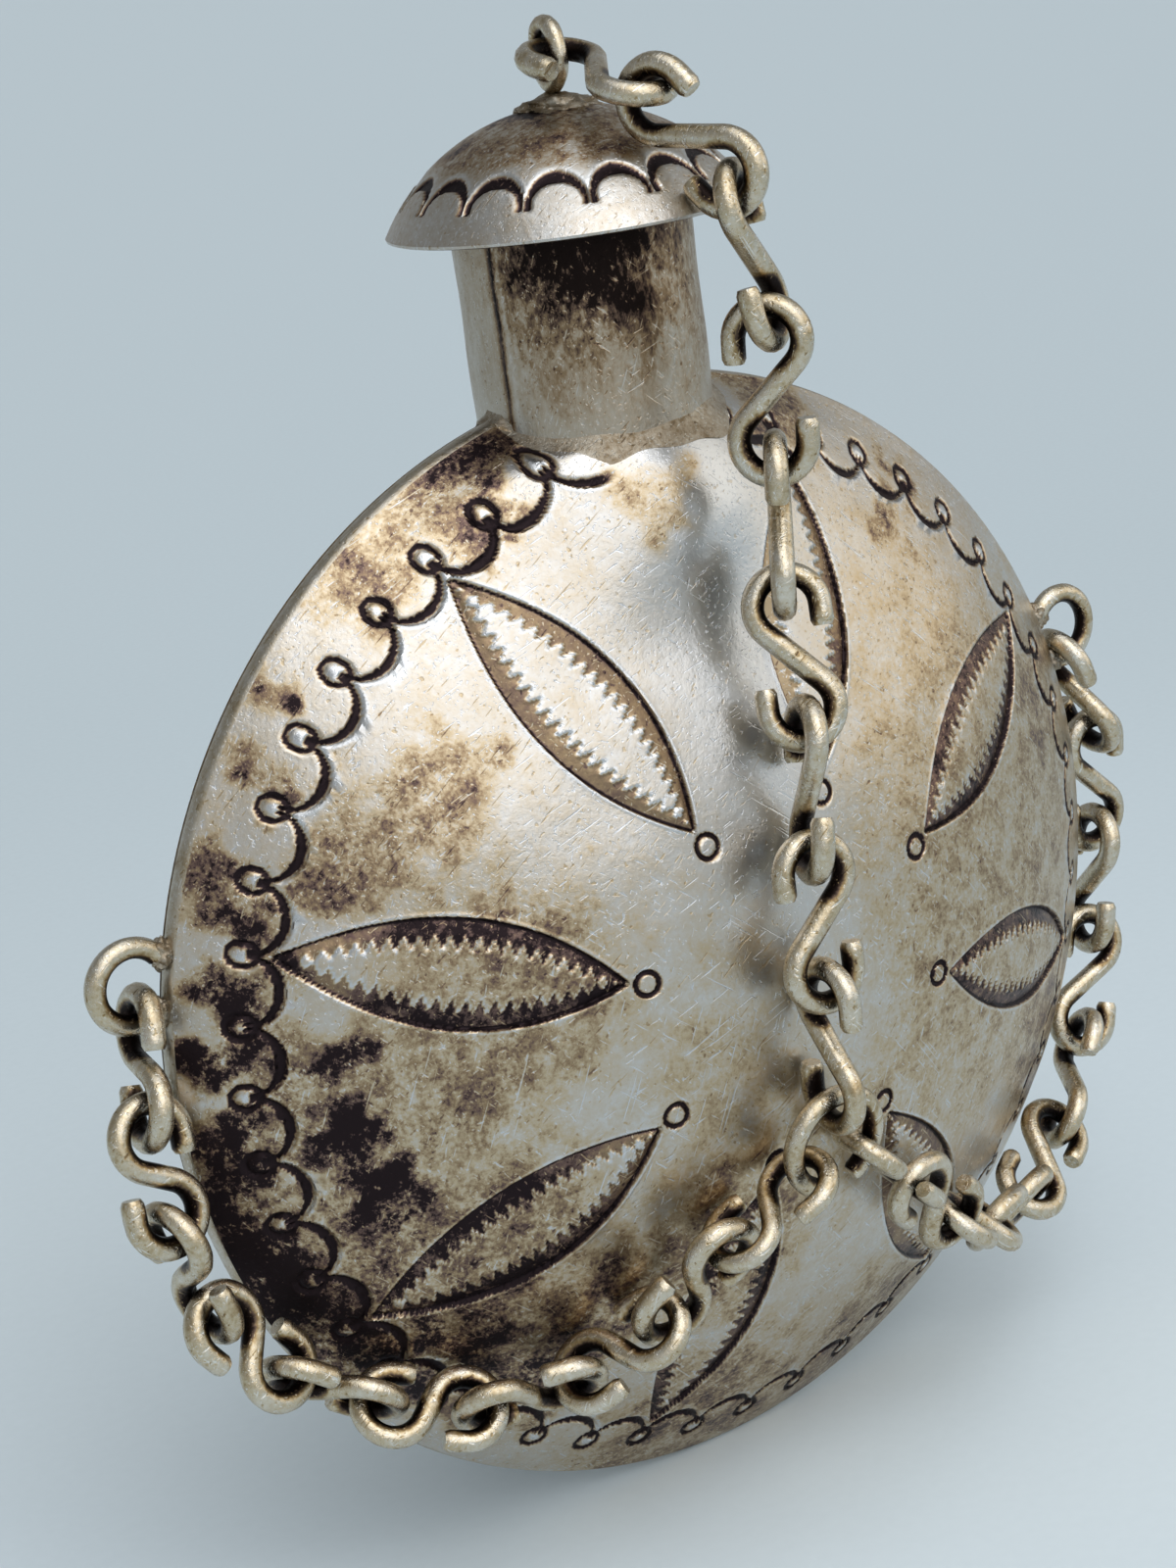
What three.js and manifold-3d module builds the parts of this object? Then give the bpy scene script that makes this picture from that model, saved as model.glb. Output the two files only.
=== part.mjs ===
// Hand-made silver tobacco canteen: two domed discs soldered along a rim band, a rolled neck,
// a domed stopper with a plug, and a three-branched chain of open S-links.
// Millimetres, +Z up along the neck, front face towards -Y, origin under the rim.
import * as THREE from 'three';
import { mergeVertices } from 'three/addons/utils/BufferGeometryUtils.js';
import Module from 'manifold-3d';

// Driving dimensions: body
const DISC_RADIUS = 32;
const DOME_HEIGHT = 12.65;
const SHELL_WALL = 0.8;
const RIM_BAND_THICKNESS = 0.9;
const RIM_BAND_WIDTH = 1.25;
const RIM_BAND_OVERHANG = 0.25;
const SOLDER_GAP = 0.3;

// Driving dimensions: neck and the swelling of the shells that meets it
const NECK_RADIUS = 6.5;
const NECK_WALL = 0.6;
const NECK_FOOT_HEIGHT = 29.7;
const NECK_DEPTH_IN_BODY = 1.4;
const SWELL_DEPTH = 4;
const SWELL_HALF_WIDTH = 8;
const SWELL_LENGTH = 11.5;
const SWELL_RIM_FADE = 2;
const NECK_BEAD_RADIUS = 0.45;

// Driving dimensions: stopper
const CAP_BRIM_HEIGHT = 41.25;
const CAP_RADIUS = 9.95;
const CAP_DOME_HEIGHT = 5.75;
const CAP_WALL = 0.7;
const CAP_BRIM_LIP = 0.35;
const PLUG_LENGTH = 7.6;
const PLUG_WALL = 0.6;
const PLUG_CLEARANCE = 0.25;
const CAP_SOLDER_RADIUS = 1.9;
const CAP_SOLDER_HEIGHT = 0.25;

// Driving dimensions: wire work
const WIRE = 1.2;
const CAP_RING_WIRE = 1;
const CAP_RING_RADIUS = 1.6;
const CAP_RING_TURN = -14;
const CAP_RING_HOOK_DROP = 8;
const LUG_RADIUS = 2.05;
const LUG_STANDOFF = 2;
const LEFT_LUG_ANGLE = 77;
const RIGHT_LUG_ANGLE = 73;
const LINK_HOOK_RADIUS = 1.8;
const STOPPER_HOOK_SPACING = 5.3;
const LEFT_HOOK_SPACING = 4;
const RIGHT_HOOK_SPACING = 5;
const LINK_TAIL = 1.2;
const LINK_CLEARANCE = 0.3;
const LINK_SLACK = 0.3;
const JUNCTION_RADIUS = 2.8;
const JUNCTION_OPENING = 50;
const JUNCTION_HOOK_ANGLE = 125;
const JUNCTION_CENTRE = [-0.04, -0.26];

// Facet counts
const DISC_SECTORS = 48;
const ROUND_SECTORS = 40;
const WIRE_SIDES = 6;
const LINK_STEPS = 20;
const ARC_STEPS = 7;

// Chain routes down the front, in shares of the disc radius from its centre,
// with the height above the shell beyond a link's own reach, in millimetres, as the third number.
const LEFT_ROUTE = [
  [-1.065, 0.045, -2.2], [-1.085, -0.08, -1.1], [-1.075, -0.205, -0.6], [-1.04, -0.315, -0.2],
  [-0.975, -0.415, 0.3], [-0.88, -0.5, 0.6], [-0.77, -0.57, 0.6], [-0.64, -0.605, 0.45],
  [-0.47, -0.578, 0.25], [-0.322, -0.465, 0.1], [-0.2, -0.36, 0],
];
const RIGHT_ROUTE = [
  [1.078, 0.1, -3.8], [1.094, -0.056, -4.4], [1.066, -0.25, -4.45], [1.02, -0.4, -3.9],
  [0.945, -0.545, -2.7], [0.835, -0.645, -1.1], [0.7, -0.7, 0.75], [0.56, -0.7, 0.75],
  [0.42, -0.65, 0.4], [0.3, -0.565, 0.2], [0.19, -0.46, 0], [0.09, -0.36, 0],
];
const STOPPER_ROUTE = [
  [0.05, 0.61, 0.9], [0.025, 0.43, 0.3], [-0.02, 0.24, 0], [-0.035, 0.05, 0],
];

// Stopper chain above the body: its way over the cap, in degrees down from the cap's top and round towards +X,
// and how far to the right of the middle plane it hangs below the brim and beside the neck's foot.
const CAP_ROUTE = [[21, -1], [37, 5], [53, 9]];
const CHAIN_DROP_BELOW_BRIM = 3;
const CHAIN_OFFSET_AT_BRIM = 2.5;
const CHAIN_OFFSET_AT_NECK_FOOT = 2.2;

const radians = THREE.MathUtils.degToRad;
const wireRadius = WIRE / 2;
const linkReach = LINK_HOOK_RADIUS + wireRadius + LINK_CLEARANCE;
const bandOuterRadius = DISC_RADIUS + RIM_BAND_OVERHANG;
const discCentreZ = bandOuterRadius * Math.cos(Math.PI / DISC_SECTORS);
const seamDepth = RIM_BAND_THICKNESS / 2 + SOLDER_GAP;
const domeSphere = (DISC_RADIUS ** 2 + DOME_HEIGHT ** 2) / (2 * DOME_HEIGHT);
const capSphere = (CAP_RADIUS ** 2 + CAP_DOME_HEIGHT ** 2) / (2 * CAP_DOME_HEIGHT);
const capCentreZ = discCentreZ + CAP_BRIM_HEIGHT + CAP_DOME_HEIGHT - capSphere;
const capTopZ = capCentreZ + capSphere;

const silver = (color, roughness) => new THREE.MeshStandardMaterial({ color, roughness, metalness: 0.95 });
const canteen = new THREE.Group();

function addPiece(name, geometry, material) {
  const piece = new THREE.Mesh(geometry, material);
  piece.name = name;
  canteen.add(piece);
  return piece;
}

// Boolean cuts
const wasm = await Module();
wasm.setup();

function toSolid(geometry) {
  const bare = geometry.clone();
  bare.deleteAttribute('normal');
  bare.deleteAttribute('uv');
  const merged = mergeVertices(bare, 1e-5);
  const mesh = new wasm.Mesh({
    numProp: 3,
    vertProperties: new Float32Array(merged.attributes.position.array),
    triVerts: new Uint32Array(merged.index.array),
  });
  return new wasm.Manifold(mesh);
}

function fromSolid(solid) {
  const mesh = solid.getMesh();
  const geometry = new THREE.BufferGeometry();
  geometry.setAttribute('position', new THREE.BufferAttribute(mesh.vertProperties, 3));
  geometry.setIndex(new THREE.BufferAttribute(mesh.triVerts, 1));
  geometry.computeVertexNormals();
  return geometry;
}

// Closed lathe around Z from outline points [radius, height]
function turned(outline, sectors = ROUND_SECTORS) {
  return new THREE.LatheGeometry(outline.map(([r, z]) => new THREE.Vector2(r, z)), sectors)
    .rotateX(Math.PI / 2);
}

// Points on an arc of a sphere's profile, from one radius to another
function spherePoints(sphere, centreZ, fromRadius, toRadius, steps) {
  const points = [];
  for (let i = 0; i <= steps; i += 1) {
    const from = Math.asin(fromRadius / sphere);
    const angle = from + (Math.asin(toRadius / sphere) - from) * (i / steps);
    points.push([sphere * Math.sin(angle), centreZ + sphere * Math.cos(angle)]);
  }
  return points;
}

// Depth of a shell's surface in front of the middle plane, at x and at a height above the disc's centre.
// The inset is 0 outside and the wall inside.
function shellDepth(x, height, inset = 0) {
  const sphere = domeSphere - inset;
  const flatCentre = domeSphere - DOME_HEIGHT;
  const edge = Math.sqrt(sphere ** 2 - flatCentre ** 2);
  const r = Math.min(Math.hypot(x, height), edge);
  const rise = THREE.MathUtils.smoothstep(height, NECK_FOOT_HEIGHT - SWELL_LENGTH, NECK_FOOT_HEIGHT);
  const across = Math.exp(-((x / SWELL_HALF_WIDTH) ** 2));
  const fade = 1 - THREE.MathUtils.smoothstep(r, edge - SWELL_RIM_FADE, edge);
  return seamDepth + Math.sqrt(sphere ** 2 - r ** 2) - flatCentre + SWELL_DEPTH * rise * across * fade;
}

function onFrontShell(x, height, standoff) {
  return new THREE.Vector3(x, -shellDepth(x, height) - standoff, discCentreZ + height);
}

// Domed shell as an outer and an inner skin of rings joined along the rim.
// The side is -1 for the front shell and 1 for the back shell.
function shellGeometry(side) {
  const ringShares = [0.17, 0.34, 0.5, 0.63, 0.74, 0.83, 0.905, 0.96, 1];
  const innerEdge = Math.sqrt((domeSphere - SHELL_WALL) ** 2 - (domeSphere - DOME_HEIGHT) ** 2);
  const positions = [];
  const faces = [];
  const addSkin = (edge, inset) => {
    const first = positions.length / 3;
    positions.push(0, side * shellDepth(0, 0, inset), discCentreZ);
    for (const share of ringShares) {
      for (let j = 0; j < DISC_SECTORS; j += 1) {
        const angle = ((j + 0.5) / DISC_SECTORS) * 2 * Math.PI;
        const x = edge * share * Math.sin(angle);
        const height = edge * share * Math.cos(angle);
        positions.push(x, side * shellDepth(x, height, inset), discCentreZ + height);
      }
    }
    return first;
  };
  const addFace = (a, b, c, flip) => faces.push(...(flip ? [a, c, b] : [a, b, c]));
  const joinSkin = (first, flip) => {
    for (let j = 0; j < DISC_SECTORS; j += 1) {
      const next = (j + 1) % DISC_SECTORS;
      addFace(first, first + 1 + j, first + 1 + next, flip);
      for (let i = 0; i + 1 < ringShares.length; i += 1) {
        const inner = first + 1 + i * DISC_SECTORS;
        const outer = inner + DISC_SECTORS;
        addFace(inner + j, outer + j, outer + next, flip);
        addFace(inner + j, outer + next, inner + next, flip);
      }
    }
  };
  const outerSkin = addSkin(DISC_RADIUS, 0);
  const innerSkin = addSkin(innerEdge, SHELL_WALL);
  joinSkin(outerSkin, side < 0);
  joinSkin(innerSkin, side > 0);
  const lastRing = 1 + (ringShares.length - 1) * DISC_SECTORS;
  for (let j = 0; j < DISC_SECTORS; j += 1) {
    const next = (j + 1) % DISC_SECTORS;
    addFace(outerSkin + lastRing + j, innerSkin + lastRing + j, innerSkin + lastRing + next, side < 0);
    addFace(outerSkin + lastRing + j, innerSkin + lastRing + next, outerSkin + lastRing + next, side < 0);
  }
  const geometry = new THREE.BufferGeometry();
  geometry.setAttribute('position', new THREE.Float32BufferAttribute(positions, 3));
  geometry.setIndex(faces);
  return geometry;
}

// The hole that the neck passes through
const neckBottomZ = discCentreZ + NECK_FOOT_HEIGHT - NECK_DEPTH_IN_BODY;
const neckHoleRadius = NECK_RADIUS + SOLDER_GAP;
const neckHoleBottomZ = neckBottomZ - SOLDER_GAP;
const neckHole = toSolid(turned([
  [0, neckHoleBottomZ], [neckHoleRadius, neckHoleBottomZ],
  [neckHoleRadius, capTopZ], [0, capTopZ],
]));

addPiece('front_shell', fromSolid(toSolid(shellGeometry(-1)).subtract(neckHole)), silver(0x9c9486, 0.36));
addPiece('back_shell', fromSolid(toSolid(shellGeometry(1)).subtract(neckHole)), silver(0x9a9284, 0.38));

// Rim band between the two shells, open where the neck passes
const bandInnerRadius = bandOuterRadius - RIM_BAND_WIDTH;
const bandHalf = RIM_BAND_THICKNESS / 2;
const rimBand = turned([
  [bandInnerRadius, -bandHalf], [bandOuterRadius, -bandHalf],
  [bandOuterRadius, bandHalf], [bandInnerRadius, bandHalf], [bandInnerRadius, -bandHalf],
], DISC_SECTORS).rotateX(Math.PI / 2).rotateY(Math.PI / DISC_SECTORS).translate(0, 0, discCentreZ);
addPiece('rim_band', fromSolid(toSolid(rimBand).subtract(neckHole)), silver(0x8f8779, 0.4));

// Neck tube: it stops under the cap's inner dome, which rests on its mouth
const capInner = capSphere - CAP_WALL;
const underCap = (radius) => capCentreZ + Math.sqrt(capInner ** 2 - radius ** 2);
const neckTopZ = underCap(NECK_RADIUS) - SOLDER_GAP;
const neckBore = NECK_RADIUS - NECK_WALL;
addPiece('neck_tube', turned([
  [neckBore, neckBottomZ], [NECK_RADIUS, neckBottomZ],
  [NECK_RADIUS, neckTopZ], [neckBore, neckTopZ], [neckBore, neckBottomZ],
]), silver(0x8d8574, 0.42));

// Solder bead round the foot of the neck, following the swelling shells
const beadRadius = neckHoleRadius + NECK_BEAD_RADIUS;
const neckBead = new THREE.TorusGeometry(beadRadius, NECK_BEAD_RADIUS, WIRE_SIDES, ROUND_SECTORS);
const beadPoints = neckBead.attributes.position;
function footHeight(x, y) {
  let height = DISC_RADIUS;
  while (height > 0 && shellDepth(x, height) < Math.abs(y)) height -= 0.02;
  return Math.min(height, Math.sqrt(bandOuterRadius ** 2 - x ** 2));
}
const beadReach = beadRadius + NECK_BEAD_RADIUS;
for (let i = 0; i < beadPoints.count; i += 1) {
  const angle = Math.atan2(beadPoints.getY(i), beadPoints.getX(i));
  const inner = footHeight(neckHoleRadius * Math.cos(angle), neckHoleRadius * Math.sin(angle));
  const outer = footHeight(beadReach * Math.cos(angle), beadReach * Math.sin(angle));
  const lift = Math.max(inner, outer) + NECK_BEAD_RADIUS + SOLDER_GAP;
  beadPoints.setZ(i, beadPoints.getZ(i) + discCentreZ + lift);
}
addPiece('neck_solder_bead', neckBead, silver(0xb9b4a6, 0.5));

// Stopper: domed cap with a lip, its plug and the wire ring on top
const capInnerEdge = Math.sqrt(capInner ** 2 - (capSphere - CAP_DOME_HEIGHT) ** 2);
const brimZ = discCentreZ + CAP_BRIM_HEIGHT;
addPiece('cap_dome', turned([
  [0, capTopZ + CAP_SOLDER_HEIGHT], [CAP_SOLDER_RADIUS / 2, capTopZ + CAP_SOLDER_HEIGHT * 0.7],
  ...spherePoints(capSphere, capCentreZ, CAP_SOLDER_RADIUS, CAP_RADIUS, 8),
  [CAP_RADIUS - CAP_WALL / 3, brimZ - CAP_BRIM_LIP], [capInnerEdge, brimZ - CAP_BRIM_LIP],
  ...spherePoints(capInner, capCentreZ, capInnerEdge, 0, 6),
].reverse()), silver(0xa19a8d, 0.34));

const plugRadius = neckBore - PLUG_CLEARANCE;
const plugTopZ = underCap(plugRadius) - SOLDER_GAP;
const plugBottomZ = plugTopZ - PLUG_LENGTH;
addPiece('stopper_plug', turned([
  [plugRadius - PLUG_WALL, plugBottomZ], [plugRadius, plugBottomZ],
  [plugRadius, plugTopZ], [plugRadius - PLUG_WALL, plugTopZ], [plugRadius - PLUG_WALL, plugBottomZ],
]), silver(0x908877, 0.45));

const ringCentreZ = capTopZ + CAP_SOLDER_HEIGHT + SOLDER_GAP + CAP_RING_WIRE / 2 + CAP_RING_RADIUS;
const capRing = new THREE.TorusGeometry(CAP_RING_RADIUS, CAP_RING_WIRE / 2, WIRE_SIDES, 2 * ARC_STEPS + 4)
  .rotateX(Math.PI / 2)
  .rotateZ(radians(90 + CAP_RING_TURN))
  .translate(0, 0, ringCentreZ);
addPiece('cap_ring', capRing, silver(0xb0aa9e, 0.36));

// Wire swept along an open path
const wireSection = new THREE.Shape();
for (let i = 0; i < WIRE_SIDES; i += 1) {
  const angle = (i / WIRE_SIDES) * 2 * Math.PI;
  const point = [wireRadius * Math.cos(angle), wireRadius * Math.sin(angle)];
  if (i === 0) wireSection.moveTo(...point);
  else wireSection.lineTo(...point);
}
wireSection.closePath();
const bentWire = (path, steps) => new THREE.ExtrudeGeometry(wireSection, { steps, extrudePath: path });

class WireArc extends THREE.Curve {
  constructor(radius, halfAngle) {
    super();
    this.radius = radius;
    this.halfAngle = halfAngle;
  }

  getPoint(t) {
    const angle = this.halfAngle * (2 * t - 1);
    return new THREE.Vector3(this.radius * Math.cos(angle), 0, this.radius * Math.sin(angle));
  }
}

// Lugs: open wire loops in the disc's plane with both feet on the rim band
const lugCentreRadius = bandOuterRadius + LUG_STANDOFF - RIM_BAND_OVERHANG;
const lugFootRadius = bandOuterRadius + SOLDER_GAP + wireRadius / 2;
const lugHalfAngle = Math.acos((lugFootRadius - lugCentreRadius) / LUG_RADIUS);

function addLug(name, side, angle) {
  const lug = addPiece(name, bentWire(new WireArc(LUG_RADIUS, lugHalfAngle), 2 * ARC_STEPS), silver(0xb3ad9f, 0.35));
  const outward = new THREE.Vector3(side * Math.sin(radians(angle)), 0, Math.cos(radians(angle)));
  lug.position.copy(outward).multiplyScalar(lugCentreRadius).setZ(discCentreZ + outward.z * lugCentreRadius);
  lug.rotation.y = -Math.atan2(outward.z, outward.x);
  return lug.position.clone().add(new THREE.Vector3(0, 0, -LUG_RADIUS));
}
const leftLugWire = addLug('left_lug', -1, LEFT_LUG_ANGLE);
const rightLugWire = addLug('right_lug', 1, RIGHT_LUG_ANGLE);

// Junction: open ring in which the three chains meet, lying along the front shell
const [junctionX, junctionHeight] = JUNCTION_CENTRE.map((share) => share * DISC_RADIUS);
const junction = addPiece(
  'junction_ring',
  bentWire(new WireArc(JUNCTION_RADIUS, Math.PI - radians(JUNCTION_OPENING) / 2), 2 * ARC_STEPS + 2),
  silver(0xaaa394, 0.36),
);
junction.position.copy(onFrontShell(junctionX, junctionHeight, linkReach));
junction.rotation.set(-Math.asin(junctionHeight / domeSphere), -Math.PI / 2, 0, 'XYZ');
junction.updateMatrixWorld();

// Hook centre of a link on the junction's wire, at an angle from its top towards the left
const onJunction = (degrees) => new THREE.Vector3(
  Math.cos(radians(degrees)), 0, Math.sin(radians(degrees)),
).multiplyScalar(JUNCTION_RADIUS + LINK_CLEARANCE).applyMatrix4(junction.matrixWorld);

const junctionTangent = (degrees) => new THREE.Vector3(
  -Math.sin(radians(degrees)), 0, Math.cos(radians(degrees)),
).transformDirection(junction.matrixWorld);

// S-link: two open hooks bent opposite ways with straight tails
class LinkPath extends THREE.Curve {
  constructor(hookSpacing) {
    super();
    this.half = hookSpacing / 2;
    this.cross = Math.asin(LINK_HOOK_RADIUS / this.half);
    this.arc = LINK_HOOK_RADIUS * (Math.PI + this.cross);
    this.straight = LINK_HOOK_RADIUS / Math.tan(this.cross);
    this.halfLength = this.straight + this.arc + LINK_TAIL;
  }

  hookPoint(along) {
    const x = Math.cos(this.cross);
    const z = Math.sin(this.cross);
    if (along <= this.straight) return [along * z, along * x];
    if (along <= this.straight + this.arc) {
      const angle = (along - this.straight) / LINK_HOOK_RADIUS - this.cross;
      return [LINK_HOOK_RADIUS * Math.cos(angle), this.half + LINK_HOOK_RADIUS * Math.sin(angle)];
    }
    return [-LINK_HOOK_RADIUS, this.half - (along - this.straight - this.arc)];
  }

  getPoint(t) {
    const along = (2 * t - 1) * this.halfLength;
    const sign = along < 0 ? -1 : 1;
    const [x, z] = this.hookPoint(Math.abs(along));
    return new THREE.Vector3(sign * x, 0, sign * z);
  }
}

// Chain of links hooked into each other along a route, each rolled about a quarter turn against the last.
// The route runs from the first link's first hook centre to the last link's last one.
// The end normals are the directions that the flat sides of the first and the last link face.
const tautStep = 2 * LINK_HOOK_RADIUS - WIRE - LINK_CLEARANCE;
const squareTo = (direction, along) => direction.clone().addScaledVector(along, -direction.dot(along)).normalize();

function addChain(name, routePoints, hookSpacing, firstNormal, lastNormal) {
  const route = new THREE.CatmullRomCurve3(routePoints, false, 'centripetal');
  route.arcLengthDivisions = 400;
  const length = route.getLength();
  const usualStep = tautStep - LINK_SLACK;
  const count = Math.round((length + usualStep) / (hookSpacing + usualStep));
  const step = (length - count * hookSpacing) / (count - 1);
  const links = [];
  for (let i = 0; i < count; i += 1) {
    const from = i * (hookSpacing + step);
    const start = route.getPointAt(Math.min(from / length, 1));
    const end = route.getPointAt(Math.min((from + hookSpacing) / length, 1));
    const along = start.clone().sub(end).normalize();
    const turn = new THREE.Quaternion();
    if (i > 0) turn.setFromUnitVectors(links[i - 1].along, along);
    const normal = i > 0 ? links[i - 1].normal.clone().applyQuaternion(turn) : squareTo(firstNormal, along);
    links.push({ along, normal, centre: start.clone().add(end).multiplyScalar(0.5) });
  }
  const last = links[count - 1];
  const wanted = squareTo(lastNormal, last.along);
  const side = new THREE.Vector3().crossVectors(last.normal, wanted).dot(last.along);
  const missing = THREE.MathUtils.radToDeg(Math.atan2(side, last.normal.dot(wanted)));
  const halfTurns = Math.round(((count - 1) * 90 - missing) / 180);
  const rollStep = radians(missing + 180 * halfTurns) / (count - 1);
  const linkGeometry = bentWire(new LinkPath(hookSpacing), LINK_STEPS);
  links.forEach(({ along, normal, centre }, i) => {
    normal.applyAxisAngle(along, i * rollStep);
    const across = new THREE.Vector3().crossVectors(normal, along);
    const link = addPiece(`${name}_${String(i + 1).padStart(2, '0')}`, linkGeometry.clone(), silver(0xb5ae9d, 0.33));
    link.quaternion.setFromRotationMatrix(new THREE.Matrix4().makeBasis(across, normal, along));
    link.position.copy(centre);
  });
}

const hangBelow = (wirePoint) => wirePoint.clone().add(new THREE.Vector3(0, 0, -LINK_CLEARANCE));
const routeOnBody = (route) => route.map(
  ([x, height, extra]) => onFrontShell(x * DISC_RADIUS, height * DISC_RADIUS, linkReach + extra),
);

// Stopper chain: from the cap's ring over the brim and down the front to the junction
const ringTurn = radians(CAP_RING_TURN);
const ringDrop = radians(CAP_RING_HOOK_DROP);
const ringFront = new THREE.Vector3(0, -Math.cos(ringDrop), -Math.sin(ringDrop))
  .applyAxisAngle(new THREE.Vector3(0, 0, 1), ringTurn)
  .multiplyScalar(CAP_RING_RADIUS + LINK_CLEARANCE)
  .add(new THREE.Vector3(0, 0, ringCentreZ));
const overCap = (degreesDown, turn) => new THREE.Vector3().setFromSphericalCoords(
  capSphere + linkReach, radians(degreesDown), radians(turn),
).applyAxisAngle(new THREE.Vector3(1, 0, 0), Math.PI / 2).add(new THREE.Vector3(0, 0, capCentreZ));
const ringHookNormal = new THREE.Vector3(0, -Math.sin(ringDrop), Math.cos(ringDrop));
const hangingY = -CAP_RADIUS - linkReach;
const sideways = new THREE.Vector3(1, 0, 0);
addChain('stopper_chain', [
  ringFront,
  ...CAP_ROUTE.map(([degreesDown, turn]) => overCap(degreesDown, turn)),
  new THREE.Vector3(CHAIN_OFFSET_AT_BRIM, hangingY, brimZ - CHAIN_DROP_BELOW_BRIM),
  new THREE.Vector3(CHAIN_OFFSET_AT_NECK_FOOT, hangingY, discCentreZ + NECK_FOOT_HEIGHT),
  ...routeOnBody(STOPPER_ROUTE),
  onJunction(0),
], STOPPER_HOOK_SPACING, ringHookNormal, sideways);

// Side chains: from the lugs down past the rim and up the front to the junction
addChain('left_chain', [
  hangBelow(leftLugWire), ...routeOnBody(LEFT_ROUTE), onJunction(JUNCTION_HOOK_ANGLE),
], LEFT_HOOK_SPACING, sideways, junctionTangent(JUNCTION_HOOK_ANGLE));
addChain('right_chain', [
  hangBelow(rightLugWire), ...routeOnBody(RIGHT_ROUTE), onJunction(-JUNCTION_HOOK_ANGLE),
], RIGHT_HOOK_SPACING, sideways, junctionTangent(-JUNCTION_HOOK_ANGLE));

export default canteen;
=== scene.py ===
# Old hand-made silver tobacco canteen: the surface, ornament and finish of every piece,
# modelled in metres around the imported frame.
import math

import bmesh
import bpy
import numpy as np
from mathutils import Matrix, Vector, noise as space_noise


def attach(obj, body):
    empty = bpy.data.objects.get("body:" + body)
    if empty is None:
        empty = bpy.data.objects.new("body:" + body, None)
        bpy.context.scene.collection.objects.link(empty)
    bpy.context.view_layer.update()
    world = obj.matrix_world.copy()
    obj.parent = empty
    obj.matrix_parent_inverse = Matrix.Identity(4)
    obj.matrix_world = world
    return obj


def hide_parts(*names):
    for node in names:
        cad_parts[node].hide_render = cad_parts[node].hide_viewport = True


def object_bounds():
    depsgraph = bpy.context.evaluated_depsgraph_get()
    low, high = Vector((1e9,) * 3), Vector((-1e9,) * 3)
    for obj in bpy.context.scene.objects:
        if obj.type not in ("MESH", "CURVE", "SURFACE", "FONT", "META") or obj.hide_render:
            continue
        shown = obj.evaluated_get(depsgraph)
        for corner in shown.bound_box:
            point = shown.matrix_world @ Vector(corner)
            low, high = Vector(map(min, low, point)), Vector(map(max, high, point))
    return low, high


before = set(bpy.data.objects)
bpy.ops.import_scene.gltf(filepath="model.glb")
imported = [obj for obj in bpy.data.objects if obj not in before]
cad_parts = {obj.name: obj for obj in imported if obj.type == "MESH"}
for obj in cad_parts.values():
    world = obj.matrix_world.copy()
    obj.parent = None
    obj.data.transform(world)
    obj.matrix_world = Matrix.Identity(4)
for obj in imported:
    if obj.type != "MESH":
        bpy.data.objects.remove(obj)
cad_low, cad_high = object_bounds()

# Front and back shell: two discs of silver sheet, hammered out into domes and soldered rim to rim.
# The front is chased with eight saw-tooth petals inside a ring of scallops, each cusp closed by an eye stamp.
# The back isn't seen in the photograph and repeats the same traditional stamps.
MM = 0.001
DISC_RADIUS = 32.0
DISC_CENTRE_Z = 32.25 * math.cos(math.pi / 48)
DOME_SPHERE = 46.80
DOME_FLAT_CENTRE = 34.15
SEAM_DEPTH = 0.75
SHELL_WALL = 0.8
SWELL_DEPTH = 4.0
SWELL_HALF_WIDTH = 8.0
SWELL_START = 18.2
SWELL_FADE = 2.0
NECK_FOOT = 29.7
NECK_RADIUS = 6.5
NECK_HOLE_RADIUS = 6.2
DISC_SECTORS = 256
STAMP_CUTS = 4

# The ring of scallops, in mm and in degrees from the top. It rises beside the neck and stops short of it.
PATTERN_TURN = 5.74
SCALLOP_SPACING = 7.5
CUSP_RADIUS = 29.0
CUSP_RISE_AT_NECK = 0.9
CUSP_RISE_ANGLES = (12.0, 22.0)
STRUCK_ON_LEFT = (7.0, 10.5)
STRUCK_ON_RIGHT = (8.0, 9.5)
FIRST_EYE_ON_LEFT = 10.0
FIRST_EYE_ON_RIGHT = 8.5
SCALLOP_SAG = 1.5
SCALLOP_HALF_CHORD = 1.88
SCALLOP_LINE = 0.36
SCALLOP_DEPTH = 0.2
HORN_HALF_LINE = 0.06
HORN_PAST_CUSP = 0.2
EYE_RING_RADIUS = 0.64
EYE_RING_HALF_LINE = 0.18
EYE_ABOVE_CUSP = 0.35
EYE_DEPTH = 0.16
PUPIL_RADII = (0.15, 0.42)
PUPIL_HEIGHT = 0.05

# The petals: a wall slopes from the first to the second distance past its edge
PETAL_SPACING = 45.0
PETAL_FIRST = 22.5
PETAL_TIP = 11.3
PETAL_ROOT = 28.2
PETAL_HALF_WIDTH = 2.95
PETAL_BAND_WIDTH = 0.85
PETAL_BAND_DEPTH = 0.28
BAND_INNER_SHARE = 0.45
PETAL_WALL = (-0.06, 0.07)
PETAL_TEETH = 24
TOOTH_LENGTH = 0.85
TOOTH_WALL = (-0.05, 0.06)
TIP_RING_PLACE = 10.3

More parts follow.
